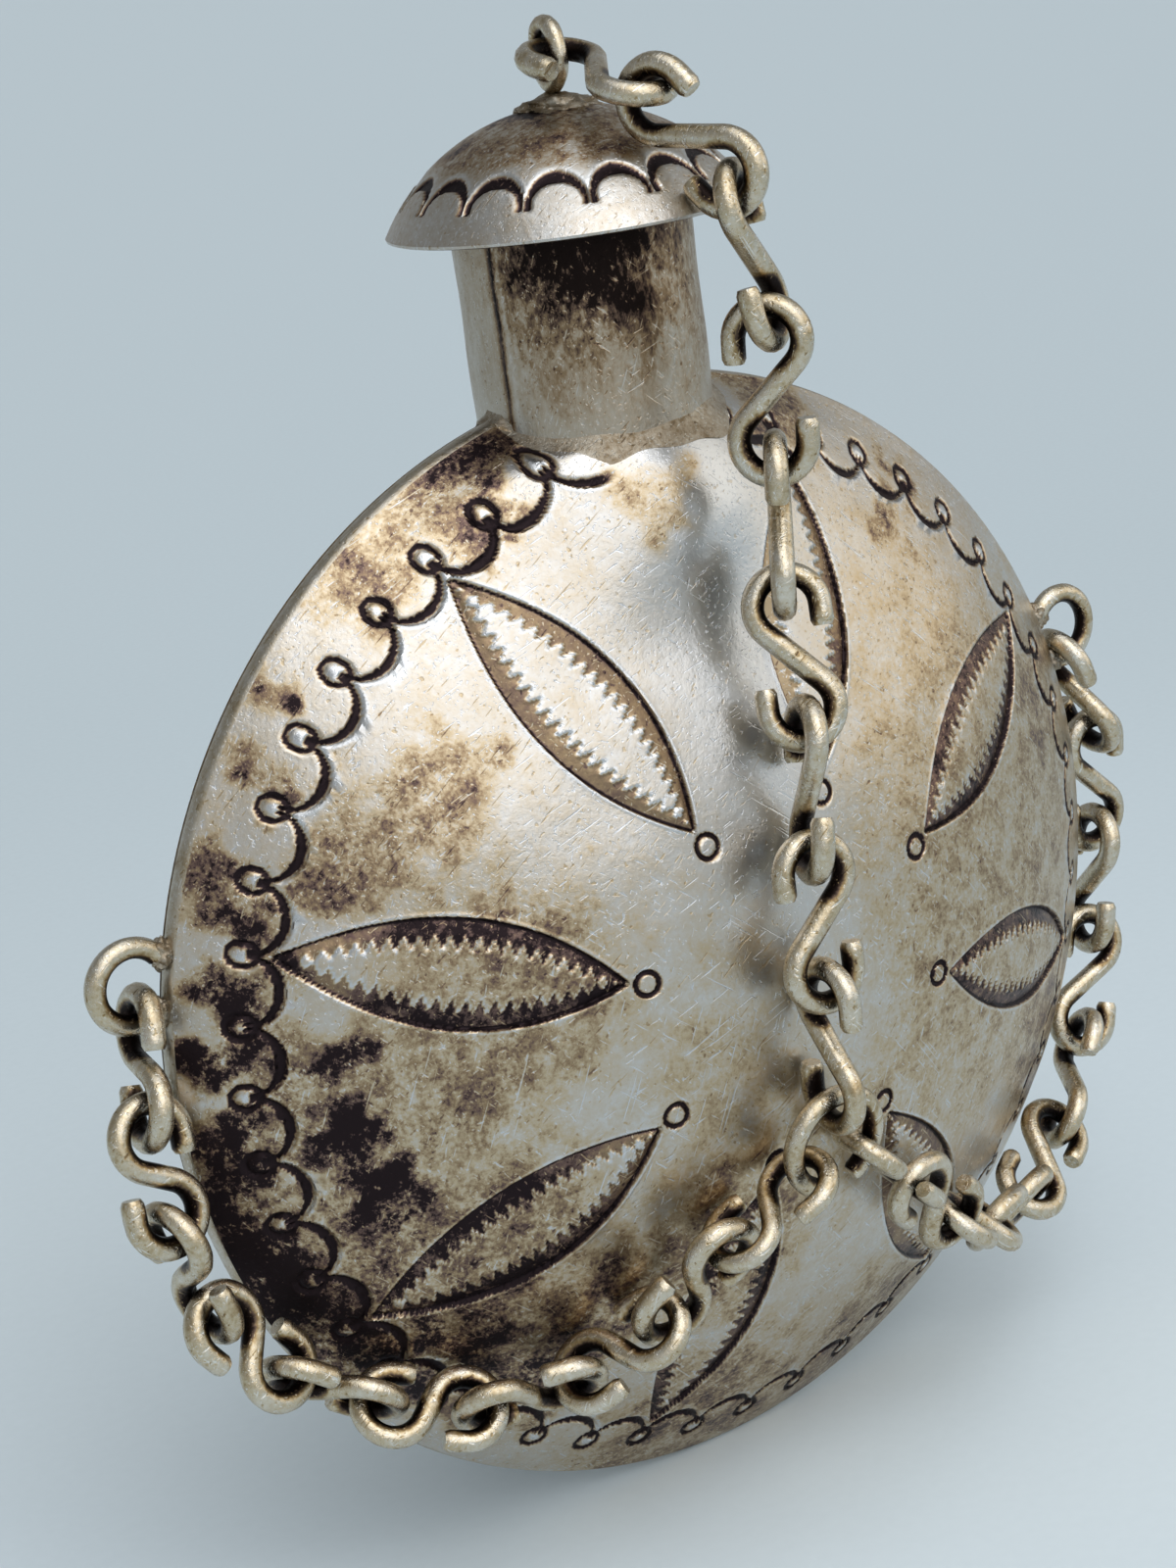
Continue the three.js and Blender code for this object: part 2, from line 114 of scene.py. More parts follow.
# The lips that the punches raised beside their marks, the line where they bit deepest, and the share of
# a petal's bow from which each is whole enough to show
LIP_HEIGHT = 0.03
LIP_HALF_WIDTH = 0.1
SCALLOP_LIP_PLACE = 0.12
SCALLOP_LIP_BELOW_CUSP = 0.3
PETAL_LIP_PLACE = 0.14
TOOTH_LIP_PLACE = 0.12
TOOTH_LIP_HALF_WIDTH = 0.09
EDGE_LINE_PLACE = 0.07
EDGE_LINE_HALF_WIDTH = 0.12
BAND_FROM_BOW = 0.02
EDGE_LINE_FROM_BOW = 0.03
PETAL_LIP_FROM_BOW = 0.05
TOOTH_LIP_FROM_BOW = 0.08

# Film that the marks hold and that rubbing takes off them, and the share of it in each kind of mark
RECESS_FILM = 0.68
BAND_RECESS = 0.37
EDGE_LINE_RECESS = 0.9
RUBBED_FILM = 0.35
LIP_RUB = 0.5
PUPIL_RUB = 0.9
TOOTH_LIP_RUB = 0.6

# How far round the marks the sheet has fine cells
RING_MARGIN_IN = 1.8
RING_MARGIN_OUT = 1.3
PETAL_MARGIN_IN = 0.35
PETAL_MARGIN_OUT = 0.45
TIP_MARGIN = 1.0


def smooth_step(value, low, high):
    share = np.clip((value - low) / (high - low), 0.0, 1.0)
    return share * share * (3.0 - 2.0 * share)


def bell(value, half_width):
    return np.exp(-((value / half_width) ** 2))


def shell_depth(x, height, inset=0.0):
    """Depth of the dome in front of the seam, in mm, with the swelling that runs up to the neck."""
    sphere = DOME_SPHERE - inset
    edge = math.sqrt(sphere ** 2 - DOME_FLAT_CENTRE ** 2)
    r = np.minimum(np.hypot(x, height), edge)
    rise = smooth_step(height, SWELL_START, NECK_FOOT)
    fade = 1.0 - smooth_step(r, edge - SWELL_FADE, edge)
    swell = SWELL_DEPTH * rise * bell(x, SWELL_HALF_WIDTH) * fade
    return SEAM_DEPTH + np.sqrt(sphere ** 2 - r ** 2) - DOME_FLAT_CENTRE + swell


def crescent(across, inward, half_chord, sag, line):
    """Depth share of a crescent punch mark and how far outside its bulging edge a point lies, in mm."""
    share = np.hypot(across / half_chord, inward / sag)
    slope = np.hypot(across / half_chord ** 2, inward / sag ** 2) / np.maximum(share, 1e-6)
    outside = (share - 1.0) / np.maximum(slope, 0.05)
    half_line = HORN_HALF_LINE + line / 2 * np.clip(1.0 - (across / half_chord) ** 2, 0.0, 1.0)
    floor_end, wall_end = 0.7 * half_line, 1.05 * half_line + 0.03
    mark = 1.0 - smooth_step(np.abs(outside + half_line), floor_end, wall_end)
    return mark * (inward > -HORN_PAST_CUSP), outside


def ring_mark(distance, radius, half_line):
    """Depth share of a ring punch mark, by the distance from its middle."""
    return 1.0 - smooth_step(np.abs(distance - radius), 0.45 * half_line, half_line)


def stamped(x, height, left):
    """Depth of the chased marks in mm, the film that they add in a recess or lose on a rubbed edge, and where
    the sheet needs fine cells. left is -1 where the pattern's left is towards -X, as on the front."""
    r = np.hypot(x, height)
    from_top = np.degrees(np.arctan2(left * x, height))
    angle = from_top - PATTERN_TURN
    cusp_radius = CUSP_RADIUS + CUSP_RISE_AT_NECK * (1.0 - smooth_step(np.abs(from_top), *CUSP_RISE_ANGLES))

    # Nothing was struck under the foot of the neck, and the last scallop beside it fades out
    along_scallop = np.radians(np.mod(angle, SCALLOP_SPACING) - SCALLOP_SPACING / 2) * CUSP_RADIUS
    scallop, outside = crescent(along_scallop, cusp_radius - r, SCALLOP_HALF_CHORD, SCALLOP_SAG, SCALLOP_LINE)
    struck = smooth_step(from_top, *STRUCK_ON_LEFT) + smooth_step(-from_top, *STRUCK_ON_RIGHT)
    scallop = scallop * struck
    scallop_lip = bell(outside - SCALLOP_LIP_PLACE, LIP_HALF_WIDTH) * struck
    scallop_lip = scallop_lip * (r < cusp_radius - SCALLOP_LIP_BELOW_CUSP)
    cusp = SCALLOP_SPACING * np.round(angle / SCALLOP_SPACING)
    cusp_from_top = cusp + PATTERN_TURN
    has_eye = (cusp_from_top > FIRST_EYE_ON_LEFT) | (cusp_from_top < -FIRST_EYE_ON_RIGHT)
    eye_radius = cusp_radius + EYE_ABOVE_CUSP
    from_eye = np.hypot(np.radians(angle - cusp) * eye_radius, r - eye_radius)
    eye = has_eye * ring_mark(from_eye, EYE_RING_RADIUS, EYE_RING_HALF_LINE)
    pupil = has_eye * (1.0 - smooth_step(from_eye, *PUPIL_RADII))

    # A petal is a sloping band inside each of its two edges, with its inner side struck into saw teeth
    from_petal = angle - PETAL_FIRST
    from_petal = np.radians(from_petal - PETAL_SPACING * np.round(from_petal / PETAL_SPACING))
    out, aside = r * np.cos(from_petal), np.abs(r * np.sin(from_petal))
    share = np.clip((out - PETAL_TIP) / (PETAL_ROOT - PETAL_TIP), 0.0, 1.0)
    bow = 4.0 * share * (1.0 - share)
    outer_edge = PETAL_HALF_WIDTH * bow
    inner_edge = outer_edge - PETAL_BAND_WIDTH * bow ** 0.5
    tooth_step = (PETAL_ROOT - PETAL_TIP) / PETAL_TEETH
    from_notch = np.abs(2.0 * np.mod(out - PETAL_TIP, tooth_step) / tooth_step - 1.0)
    saw_edge = inner_edge - TOOTH_LENGTH * bow ** 0.4 * (1.0 - from_notch)
    band = smooth_step(aside - saw_edge, *TOOTH_WALL) * (bow > BAND_FROM_BOW)
    band *= 1.0 - smooth_step(aside - outer_edge, *PETAL_WALL)
    band_slope = np.clip((aside - inner_edge) / np.maximum(outer_edge - inner_edge, 0.05), 0.0, 1.0)
    band_share = BAND_INNER_SHARE + (1.0 - BAND_INNER_SHARE) * band_slope
    petal_lip = bell(aside - outer_edge - PETAL_LIP_PLACE, LIP_HALF_WIDTH) * (bow > PETAL_LIP_FROM_BOW)
    tooth_lip = bell(saw_edge - TOOTH_LIP_PLACE - aside, TOOTH_LIP_HALF_WIDTH) * (bow > TOOTH_LIP_FROM_BOW)
    edge_line = bell(aside - outer_edge + EDGE_LINE_PLACE, EDGE_LINE_HALF_WIDTH) * (bow > EDGE_LINE_FROM_BOW)
    from_tip = np.hypot(out - TIP_RING_PLACE, aside)
    tip_ring = ring_mark(from_tip, EYE_RING_RADIUS, EYE_RING_HALF_LINE)

    rings = np.maximum(eye, tip_ring)
    lips = np.maximum(scallop_lip, petal_lip)
    petal_depth = PETAL_BAND_DEPTH * band * band_share
    depth = np.maximum.reduce([SCALLOP_DEPTH * scallop, EYE_DEPTH * rings, petal_depth])
    depth = depth - LIP_HEIGHT * lips - PUPIL_HEIGHT * pupil
    recess = np.maximum.reduce([scallop, rings, BAND_RECESS * band, EDGE_LINE_RECESS * edge_line])
    rubbed = np.maximum.reduce([LIP_RUB * lips, PUPIL_RUB * pupil, TOOTH_LIP_RUB * tooth_lip])
    in_ring = (r > cusp_radius - RING_MARGIN_IN) & (r < cusp_radius + RING_MARGIN_OUT)
    on_petal = (aside > inner_edge - TOOTH_LENGTH - PETAL_MARGIN_IN) & (aside < outer_edge + PETAL_MARGIN_OUT)
    near_mark = in_ring | on_petal & (bow > 0) | (from_tip < TIP_MARGIN)
    return depth, RECESS_FILM * recess - RUBBED_FILM * rubbed, near_mark


def pick(piece):
    """Makes a piece the only selected object."""
    bpy.ops.object.select_all(action="DESELECT")
    piece.select_set(True)
    bpy.context.view_layer.objects.active = piece


def new_piece(name, data):
    piece = bpy.data.objects.new(name, data)
    bpy.context.scene.collection.objects.link(piece)
    pick(piece)
    return piece


def face_outward():
    """Turns the faces of the piece being edited outward, so that the volume they close is above zero."""
    bpy.ops.mesh.select_all(action="SELECT")
    bpy.ops.mesh.normals_make_consistent(inside=False)
    if bmesh.from_edit_mesh(bpy.context.object.data).calc_volume(signed=True) < 0:
        bpy.ops.mesh.flip_normals()


WELD_DISTANCE = 2e-6


def weld():
    """Merges the doubled points of the picked piece and turns its faces outward."""
    bpy.ops.object.mode_set(mode="EDIT")
    bpy.ops.mesh.select_all(action="SELECT")
    bpy.ops.mesh.remove_doubles(threshold=WELD_DISTANCE)
    face_outward()
    bpy.ops.object.mode_set(mode="OBJECT")


def spun(name, outline, steps, centre, axis):
    """A profile drawn as a line of points, in mm, and spun once round an axis into a closed skin."""
    mesh = bpy.data.meshes.new(name)
    corners = [tuple(np.array(p) * MM) for p in outline]
    mesh.from_pydata(corners, [(i, i + 1) for i in range(len(corners) - 1)], [])
    piece = new_piece(name, mesh)
    bpy.ops.object.mode_set(mode="EDIT")
    bpy.ops.mesh.select_all(action="SELECT")
    bpy.ops.mesh.spin(steps=steps, angle=2 * math.pi, center=np.array(centre) * MM, axis=axis)
    bpy.ops.object.mode_set(mode="OBJECT")
    weld()
    return piece


def points_of(piece):
    """The piece's points in mm."""
    points = np.empty(len(piece.data.vertices) * 3)
    piece.data.vertices.foreach_get("co", points)
    return points.reshape(-1, 3) / MM


def set_points(piece, points):
    piece.data.vertices.foreach_set("co", np.ascontiguousarray(points * MM, dtype=np.float32).ravel())
    piece.data.update()


def set_film(piece, film, marks=0.0):
    """Writes how thick the sulphide film lies at each point, from 0, bare silver, to 1, black, and how much
    of it the maker's marks hold or lose.
    Both also carry painted light: painted reflections and light on the shells, painted shade and a painted
    highlight on the neck, a painted shadow and glint along the neck's lap, and painted shade inside the bends
    of the wire."""
    for name, values in (("film", film), ("marks", marks)):
        attribute = piece.data.attributes.new(name, "FLOAT", "POINT")
        values = np.broadcast_to(values, len(piece.data.vertices))
        attribute.data.foreach_set("value", np.ascontiguousarray(values, dtype=np.float32))


def select_only(piece, kind, chosen):
    """Selects just these faces or vertices of a piece, by a row of true and false."""
    for parts in (piece.data.vertices, piece.data.edges, piece.data.polygons):
        parts.foreach_set("select", np.zeros(len(parts), dtype=bool))
    getattr(piece.data, kind).foreach_set("select", chosen)
    piece.data.update()


def cut_neck_hole(piece):
    """Takes away what lies inside the neck's wall and closes the cut edge of the sheet."""
    points = points_of(piece)
    inside = np.hypot(points[:, 0], points[:, 1]) < NECK_HOLE_RADIUS
    inside &= points[:, 2] > DISC_CENTRE_Z + SWELL_START
    select_only(piece, "vertices", inside)
    pick(piece)
    bpy.ops.object.mode_set(mode="EDIT")
    bpy.ops.mesh.select_mode(type="VERT")
    bpy.ops.mesh.delete(type="VERT")
    bpy.ops.mesh.select_non_manifold(extend=False, use_wire=False, use_multi_face=False)
    bpy.ops.mesh.fill_holes(sides=0)
    face_outward()
    bpy.ops.object.mode_set(mode="OBJECT")


def linear(code):
    """An sRGB hex colour as linear RGBA."""
    parts = [int(code[i:i + 2], 16) / 255 for i in (1, 3, 5)]
    return tuple(c / 12.92 if c <= 0.04045 else ((c + 0.055) / 1.055) ** 2.4 for c in parts) + (1.0,)


def add_node(tree, kind, settings=None, out=0, **inputs):
    """Adds a node with its settings, links or sets its inputs, and gives back one of its outputs.
    An input goes by its name, with _ for a space, or by i and its number."""
    node = tree.nodes.new(kind)
    for name, value in (settings or {}).items():
        setattr(node, name, value)
    for name, value in inputs.items():
        socket = node.inputs[int(name[1:]) if name[1:].isdigit() else name.replace("_", " ")]
        if isinstance(value, bpy.types.NodeSocket):
            tree.links.new(value, socket)
        else:
            socket.default_value = value
    return node.outputs[out] if node.outputs else None


# Thickness at which the film shows each of its five tones
TONE_STOPS = (0.14, 0.36, 0.47, 0.58, 0.7)
# How the film varies: size of the cells in mm, detail, share in the film and share in the relief
FILM_CLOUDS = ((6.0, 5.0, 0.5, 0.0), (1.7, 7.0, 1.3, 1.0), (0.32, 4.0, 0.9, 0.4))
CLOUD_ROUGHNESS = 0.68
# How strongly the clouds break up the film: what a thicker film adds, and where bare silver starts
PATCHY_GAIN = 2.4
PATCHY_START = -0.4
# Scratches from a life in a pocket, drawn coarser than real ones so that they show, and small dark pits:
# turn, how long each is drawn out, its width in mm and its change of the film
WEAR_MARKS = (
    (0.35, 30.0, 0.15, -0.2), (1.2, 24.0, 0.15, -0.2), (-0.7, 30.0, 0.15, -0.2), (2.3, 20.0, 0.17, -0.2),
    (0.9, 16.0, 0.17, 0.12), (0.0, 1.0, 0.35, 0.11),
)
WEAR_TILT_X = 0.2
WEAR_TILT_Z = 0.1
WEAR_STARTS = 0.68
WEAR_WHOLE = 0.75
WEAR_RELIEF = -0.25
# Bare silver is a little glossier than the roughness given, and black film more matt
BARE_GLOSS = 0.03
BLACK_MATT = 0.22
RELIEF_STRENGTH = 0.35
RELIEF_DEPTH = 0.25


def aged_silver(name, tones, roughness, grain, streak=1.0):
    """Old silver: bright grey metal under a sulphide film that turns straw, gold-brown, purple-brown and then
    near-black as it thickens; those are its five tones. The film attribute gives the thickness, clouds and
    grit break it up the more the thicker it is, struck marks hold it and scratches cut it."""
    material = bpy.data.materials.new(name)
    material.use_nodes = True
    tree = material.node_tree
    tree.nodes.clear()
    multiply_add = {"operation": "MULTIPLY_ADD"}
    place = add_node(tree, "ShaderNodeTexCoord", out="Object")
    drawn = add_node(tree, "ShaderNodeMapping", Vector=place, Scale=(1.0, 1.0, streak))
    film = add_node(tree, "ShaderNodeAttribute", {"attribute_name": "film"}, out="Fac")
    marks = add_node(tree, "ShaderNodeAttribute", {"attribute_name": "marks"}, out="Fac")
    uneven = -sum(cloud[2] for cloud in FILM_CLOUDS) / 2
    relief = 0.0
    for cell, detail, share, bump_share in FILM_CLOUDS:
        cloud = add_node(tree, "ShaderNodeTexNoise", Vector=drawn, Scale=1 / (cell * MM), Detail=detail,
                         Roughness=CLOUD_ROUGHNESS)
        uneven = add_node(tree, "ShaderNodeMath", multiply_add, i0=cloud, i1=share, i2=uneven)
        relief = add_node(tree, "ShaderNodeMath", multiply_add, i0=cloud, i1=bump_share, i2=relief)
    patchy = add_node(tree, "ShaderNodeMath", multiply_add, i0=film, i1=PATCHY_GAIN, i2=PATCHY_START)
    film = add_node(tree, "ShaderNodeMath", multiply_add, i0=uneven, i1=patchy, i2=film)
    film = add_node(tree, "ShaderNodeMath", {"operation": "ADD"}, i0=film, i1=marks)
    for turn, stretch, width, change in WEAR_MARKS:
        along = add_node(tree, "ShaderNodeMapping", {"vector_type": "TEXTURE"}, Vector=place,
                         Rotation=(WEAR_TILT_X, turn, WEAR_TILT_Z), Scale=(1.0, 1.0, stretch))
        mark = add_node(tree, "ShaderNodeTexNoise", Vector=along, Scale=1 / (width * MM), Detail=1.0)
        mark = add_node(tree, "ShaderNodeMapRange", {"interpolation_type": "SMOOTHSTEP"},
                        Value=mark, From_Min=WEAR_STARTS, From_Max=WEAR_WHOLE)
        film = add_node(tree, "ShaderNodeMath", multiply_add, i0=mark, i1=change, i2=film)
        relief = add_node(tree, "ShaderNodeMath", multiply_add, i0=mark, i1=WEAR_RELIEF, i2=relief)
    colour = add_node(tree, "ShaderNodeValToRGB", Fac=film)
    stops = colour.node.color_ramp.elements
    stops[0].position, stops[1].position = TONE_STOPS[0], TONE_STOPS[-1]
    for position in TONE_STOPS[1:-1]:
        stops.new(position)
    for stop, tone in zip(stops, tones):
        stop.color = linear(tone)
    rough = add_node(tree, "ShaderNodeMapRange", Value=film, To_Min=roughness - BARE_GLOSS,
                     To_Max=roughness + BLACK_MATT)
    bump = add_node(tree, "ShaderNodeBump", Height=relief, Strength=RELIEF_STRENGTH,
                    Distance=RELIEF_DEPTH * grain * MM)
    shader = add_node(tree, "ShaderNodeBsdfPrincipled", Base_Color=colour, Metallic=1.0, Roughness=rough,
                      Normal=bump)
    add_node(tree, "ShaderNodeOutputMaterial", Surface=shader)
    return material


SMOOTH_BELOW = math.radians(50)


def dress(piece, material, body, slot, *nodes):
    """Gives a finished piece its shading, material and body, and hides the CAD nodes it stands for. The slot
    argument is not used.
    """
    pick(piece)
    bpy.ops.object.shade_smooth_by_angle(angle=SMOOTH_BELOW)
    piece.data.materials.clear()
    piece.data.materials.append(material)
    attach(piece, body)
    if nodes:
        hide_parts(*nodes)


# Rings of cells from the middle of the disc outward: coarse where it is plain, fine where it is chased
PLAIN_RINGS = (0.0, 2.0, 4.0, 6.0, 7.5, 8.7)
CHASED_RINGS = np.arange(9.3, 31.4, 0.625)
EDGE_RINGS = (31.7, 31.9, DISC_RADIUS)
INNER_RINGS = (28.5, 25.0, 21.0, 16.0, 11.0, 6.0, 0.0)
# The disc is drawn with its outer skin at 0 and its inner skin at 1, so a smaller distance than this is outer
OUTER_SKIN = 0.3
# Waves and ripples that the hammer left in the sheet, in mm, and the radii where they run out at the rim
HAMMER_WAVE = 0.07
HAMMER_RIPPLE = 0.025
HAMMERED_END = (31.0, 31.9)

# Film that the hand never rubbed away, and on the front a few painted reflections: place across and above the
# disc's centre, reach and thickness.
# A patch is whole to one share of its reach and gone past another, and its edge strays in two waves.
PLAIN_FILM = 0.25
INNER_FILM = 0.75
PATCH_WHOLE = 0.5
PATCH_GONE = 1.7
PATCH_STRAY = 0.8
PATCH_FINE_STRAY = 0.4
FRONT_FILM_AND_PAINTED_REFLECTIONS = [
    (-28.5, 6.3, 1.6, 0.82), (-29.6, 3.3, 1.6, 0.88), (-30.5, -1.8, 1.8, 0.88), (-31.0, -5.3, 1.8, 0.82),
    (-25.2, 2.6, 1.2, 0.74), (-25.3, -2.6, 1.7, 0.88), (-24.0, -4.8, 1.8, 0.92), (-23.0, -7.2, 1.2, 0.78),
    (-29.9, -7.5, 2.0, 0.82), (-28.9, -11.4, 2.6, 0.94), (-23.2, -16.2, 2.2, 0.88), (-20.6, -16.8, 2.4, 0.74),
    (-26.0, -14.5, 2.0, 0.8), (-18.9, -13.6, 3.0, 0.56), (-14.0, -16.0, 4.0, 0.54), (-17.0, -20.5, 3.0, 0.7),
    (-9.5, 30.1, 1.8, 0.64), (-12.8, 28.7, 2.4, 0.47), (-17.5, 25.6, 2.2, 0.47), (-22.8, 21.1, 1.0, 0.56),
    (-24.6, 17.0, 1.2, 0.54), (-27.3, 10.3, 1.4, 0.68), (-28.3, 12.2, 1.6, 0.54), (-24.6, 11.1, 1.2, 0.58),
    (-21.2, 12.6, 2.4, 0.5), (-18.6, 14.5, 2.2, 0.48), (-16.2, 15.8, 1.8, 0.46), (-1.9, 26.8, 1.8, 0.5),
    (-10.6, 26.8, 1.5, 0.5), (-17.0, 4.5, 5.0, 0.46), (-20.0, 0.5, 4.5, 0.45), (-6.0, -14.0, 5.0, 0.46),
    (-19.5, -10.0, 5.5, 0.46), (-26.5, 0.0, 3.4, 0.52), (-25.0, -8.0, 3.6, 0.54), (-27.5, -12.0, 4.0, 0.6),
    (15.0, 21.0, 1.4, 0.5), (18.5, 23.0, 1.2, 0.52), (9.5, 29.4, 2.6, 0.5), (16.0, 2.0, 14.0, 0.38),
    # The first three places of this row are painted reflections, not film: the shaded floor mirrored dark
    # along the bottom edge, and a brown reflection low on the right
    (-5.0, -28.5, 6.0, 0.48), (8.0, -28.5, 6.0, 0.46), (24.0, -14.0, 5.0, 0.48), (26.0, 8.0, 4.0, 0.44),
    (0.0, -5.0, 9.0, 0.36),
]
BACK_FILM = [
    (24.0, 8.0, 3.6, 0.78), (-22.0, -12.0, 4.0, 0.8), (6.0, -24.0, 3.0, 0.7), (-12.0, 24.0, 3.0, 0.64),
    (16.0, -16.0, 4.0, 0.54), (28.0, -6.0, 2.4, 0.76), (-6.0, 4.0, 6.0, 0.46), (-28.0, 8.0, 2.4, 0.74),
    (10.0, 18.0, 4.0, 0.46), (-15.0, -2.0, 2.0, 0.56), (20.0, -22.0, 3.0, 0.66),
]
# Rubbed places: the raised sheet along the arcs, where the film is thick, and a track down the middle, partly
# rubbed and partly painted light over the chain's shadow and reflection
ARC_RUB = 0.22
ARC_RUB_RADIUS = 27.7
ARC_RUB_HALF_WIDTH = 0.9
ARC_RUB_FILM = (0.45, 0.8)
TRACK_RUB_AND_PAINTED_LIGHT = 0.12
TRACK_PLACE = 1.0
TRACK_HALF_WIDTH = 4.5
TRACK_FOOT = (-9.0, -4.0)
shell_silver = aged_silver(
    "tarnished_hammered_silver_sheet", ("#c9cacb", "#bba98c", "#957f63", "#6a5650", "#292123"),
    roughness=0.28, grain=0.5)


def domed_shell(name, node, side, film_and_reflection_places):
    """One shell: a flat disc of rings, cut finer where it is chased, then raised to the dome and struck."""
    inner_edge = math.sqrt((DOME_SPHERE - SHELL_WALL) ** 2 - DOME_FLAT_CENTRE ** 2)
    outline = [(r, 0.0, DISC_CENTRE_Z) for r in (*PLAIN_RINGS, *CHASED_RINGS, *EDGE_RINGS)]
    outline += [(r, -side, DISC_CENTRE_Z) for r in (inner_edge, *INNER_RINGS)]
    piece = spun(name, outline, DISC_SECTORS, (0, 0, DISC_CENTRE_Z), (0, 1, 0))

    centres = np.empty(len(piece.data.polygons) * 3)
    piece.data.polygons.foreach_get("center", centres)
    centres = centres.reshape(-1, 3) / MM
    near_mark = stamped(centres[:, 0], centres[:, 2] - DISC_CENTRE_Z, side)[2]
    select_only(piece, "polygons", near_mark & (np.abs(centres[:, 1]) < OUTER_SKIN))
    bpy.ops.object.mode_set(mode="EDIT")
    bpy.ops.mesh.select_mode(type="FACE")
    bpy.ops.mesh.subdivide(number_cuts=STAMP_CUTS, quadcorner="INNERVERT")
    bpy.ops.object.mode_set(mode="OBJECT")

    points = points_of(piece)
    x, height, outer = points[:, 0], points[:, 2] - DISC_CENTRE_Z, np.abs(points[:, 1]) < OUTER_SKIN
    uneven = HAMMER_WAVE * np.sin(0.33 * x + 1.3) * np.sin(0.29 * height + 0.4)
    uneven += HAMMER_RIPPLE * np.sin(0.75 * x - 0.6 * height + 0.8) * np.cos(0.5 * height + 0.3 * x)
    worked = outer * (1 - smooth_step(np.hypot(x, height), *HAMMERED_END))
    sunk = (stamped(x, height, side)[0] + uneven) * worked
    y = np.where(outer, shell_depth(x, height), shell_depth(x, height, SHELL_WALL))
    towards_centre = sunk / np.where(outer, DOME_SPHERE, DOME_SPHERE - SHELL_WALL)
    points[:, 0] = x * (1 - towards_centre)
    points[:, 1] = side * (y - towards_centre * (y + DOME_FLAT_CENTRE))
    points[:, 2] = DISC_CENTRE_Z + height * (1 - towards_centre)
    set_points(piece, points)
    cut_neck_hole(piece)

    points = points_of(piece)
    x, height = points[:, 0], points[:, 2] - DISC_CENTRE_Z
    film = np.full(len(points), PLAIN_FILM)
    stray_x = x + PATCH_STRAY * np.sin(1.5 * height + 0.5 * x)
    stray_x += PATCH_FINE_STRAY * np.sin(2.6 * height - 1.7 * x + 1.0)
    stray_height = height + PATCH_STRAY * np.sin(1.4 * x - 0.6 * height + 2.0)
    stray_height += PATCH_FINE_STRAY * np.sin(2.5 * x + 1.9 * height)
    # Film patches, and on the front a few painted reflections
    for place_x, place_height, reach, thickness in film_and_reflection_places:
        spread = np.hypot(stray_x - place_x, stray_height - place_height)
        share = 1 - smooth_step(spread, PATCH_WHOLE * reach, PATCH_GONE * reach)
        film = np.maximum(film, PLAIN_FILM + (thickness - PLAIN_FILM) * share)
    on_arcs = bell(np.hypot(x, height) - ARC_RUB_RADIUS, ARC_RUB_HALF_WIDTH)
    film -= ARC_RUB * on_arcs * smooth_step(film, *ARC_RUB_FILM)
    # Lighter down the middle behind the chain: rubbing, and painted light over the chain's shadow and
    # reflection
    film -= TRACK_RUB_AND_PAINTED_LIGHT * bell(x - TRACK_PLACE, TRACK_HALF_WIDTH) * smooth_step(height, *TRACK_FOOT)
    outside = np.abs(points[:, 1]) > shell_depth(x, height) - SHELL_WALL / 2
    set_film(piece, np.where(outside, film, INNER_FILM), outside * stamped(x, height, side)[1])
    dress(piece, shell_silver, "canteen", "tarnished_silver_sheet", node)


domed_shell("front_shell_chased", "front_shell", -1, FRONT_FILM_AND_PAINTED_REFLECTIONS)
domed_shell("back_shell_chased", "back_shell", 1, BACK_FILM)


# Rim band: the solder-filled seam where the two shells meet, filed to a rounded edge a hair proud of them.
# It shows as a thin bright line outside the front shell.
RIM_OUTLINE = [
    (30.95, -0.74), (31.75, -0.74), (31.98, -0.62), (32.12, -0.35), (32.16, 0.0),
    (32.12, 0.35), (31.98, 0.62), (31.75, 0.74), (30.95, 0.74), (30.95, -0.74),
]
RIM_FILM = 0.32
rim_silver = aged_silver(
    "filed_silver_seam", ("#cbc7bf", "#b3a793", "#94805f", "#65544a", "#2f2724"), roughness=0.3, grain=0.7)
rim = spun("rim_band_filed", [(r, y, DISC_CENTRE_Z) for r, y in RIM_OUTLINE], DISC_SECTORS,
           (0, 0, DISC_CENTRE_Z), (0, 1, 0))
cut_neck_hole(rim)
set_film(rim, RIM_FILM)
dress(rim, rim_silver, "canteen", "tarnished_silver_sheet", "rim_band")


# Neck: a strip of sheet rolled into a tube, its upright edges lapped and soldered, set into the shells.
# Handled least of all, it has gone brown in streaks, darkest under the cap, where painted shade of the brim
# adds to the brown.
# A painted highlight lies on the strip left of the lap, and the lap has a painted shadow and glint.
NECK_BOTTOM = 60.48
NECK_TOP = 76.0
NECK_WALL = 0.6
NECK_SECTORS = 180
NECK_RINGS = 44
NECK_OUTER_BREAK = 0.12
NECK_INNER_BREAK = 0.1
NECK_WAVE = 0.03
LAP_ANGLE = 193.0
LAP_STEP = 0.16
LAP_REACH = 38.0
# A painted shadow along the lap and a painted glint beside its edge: strength, place and half width
LAP_SHADOW = 0.35
LAP_SHADOW_HALF_WIDTH = 0.28
LAP_GLINT = 0.2
LAP_GLINT_PLACE = 0.5
LAP_GLINT_HALF_WIDTH = 0.25
NECK_FILM = 0.42
# Brown stain deepened by painted shade under the cap's brim: its film, turn past the lap, half width and
# heights
STAIN_AND_SHADE_FILM = 0.38
STAIN_AND_SHADE_PAST_LAP = 48.0
STAIN_AND_SHADE_HALF_WIDTH = 36.0
STAIN_AND_SHADE_HEIGHTS = (65.5, 73.0)
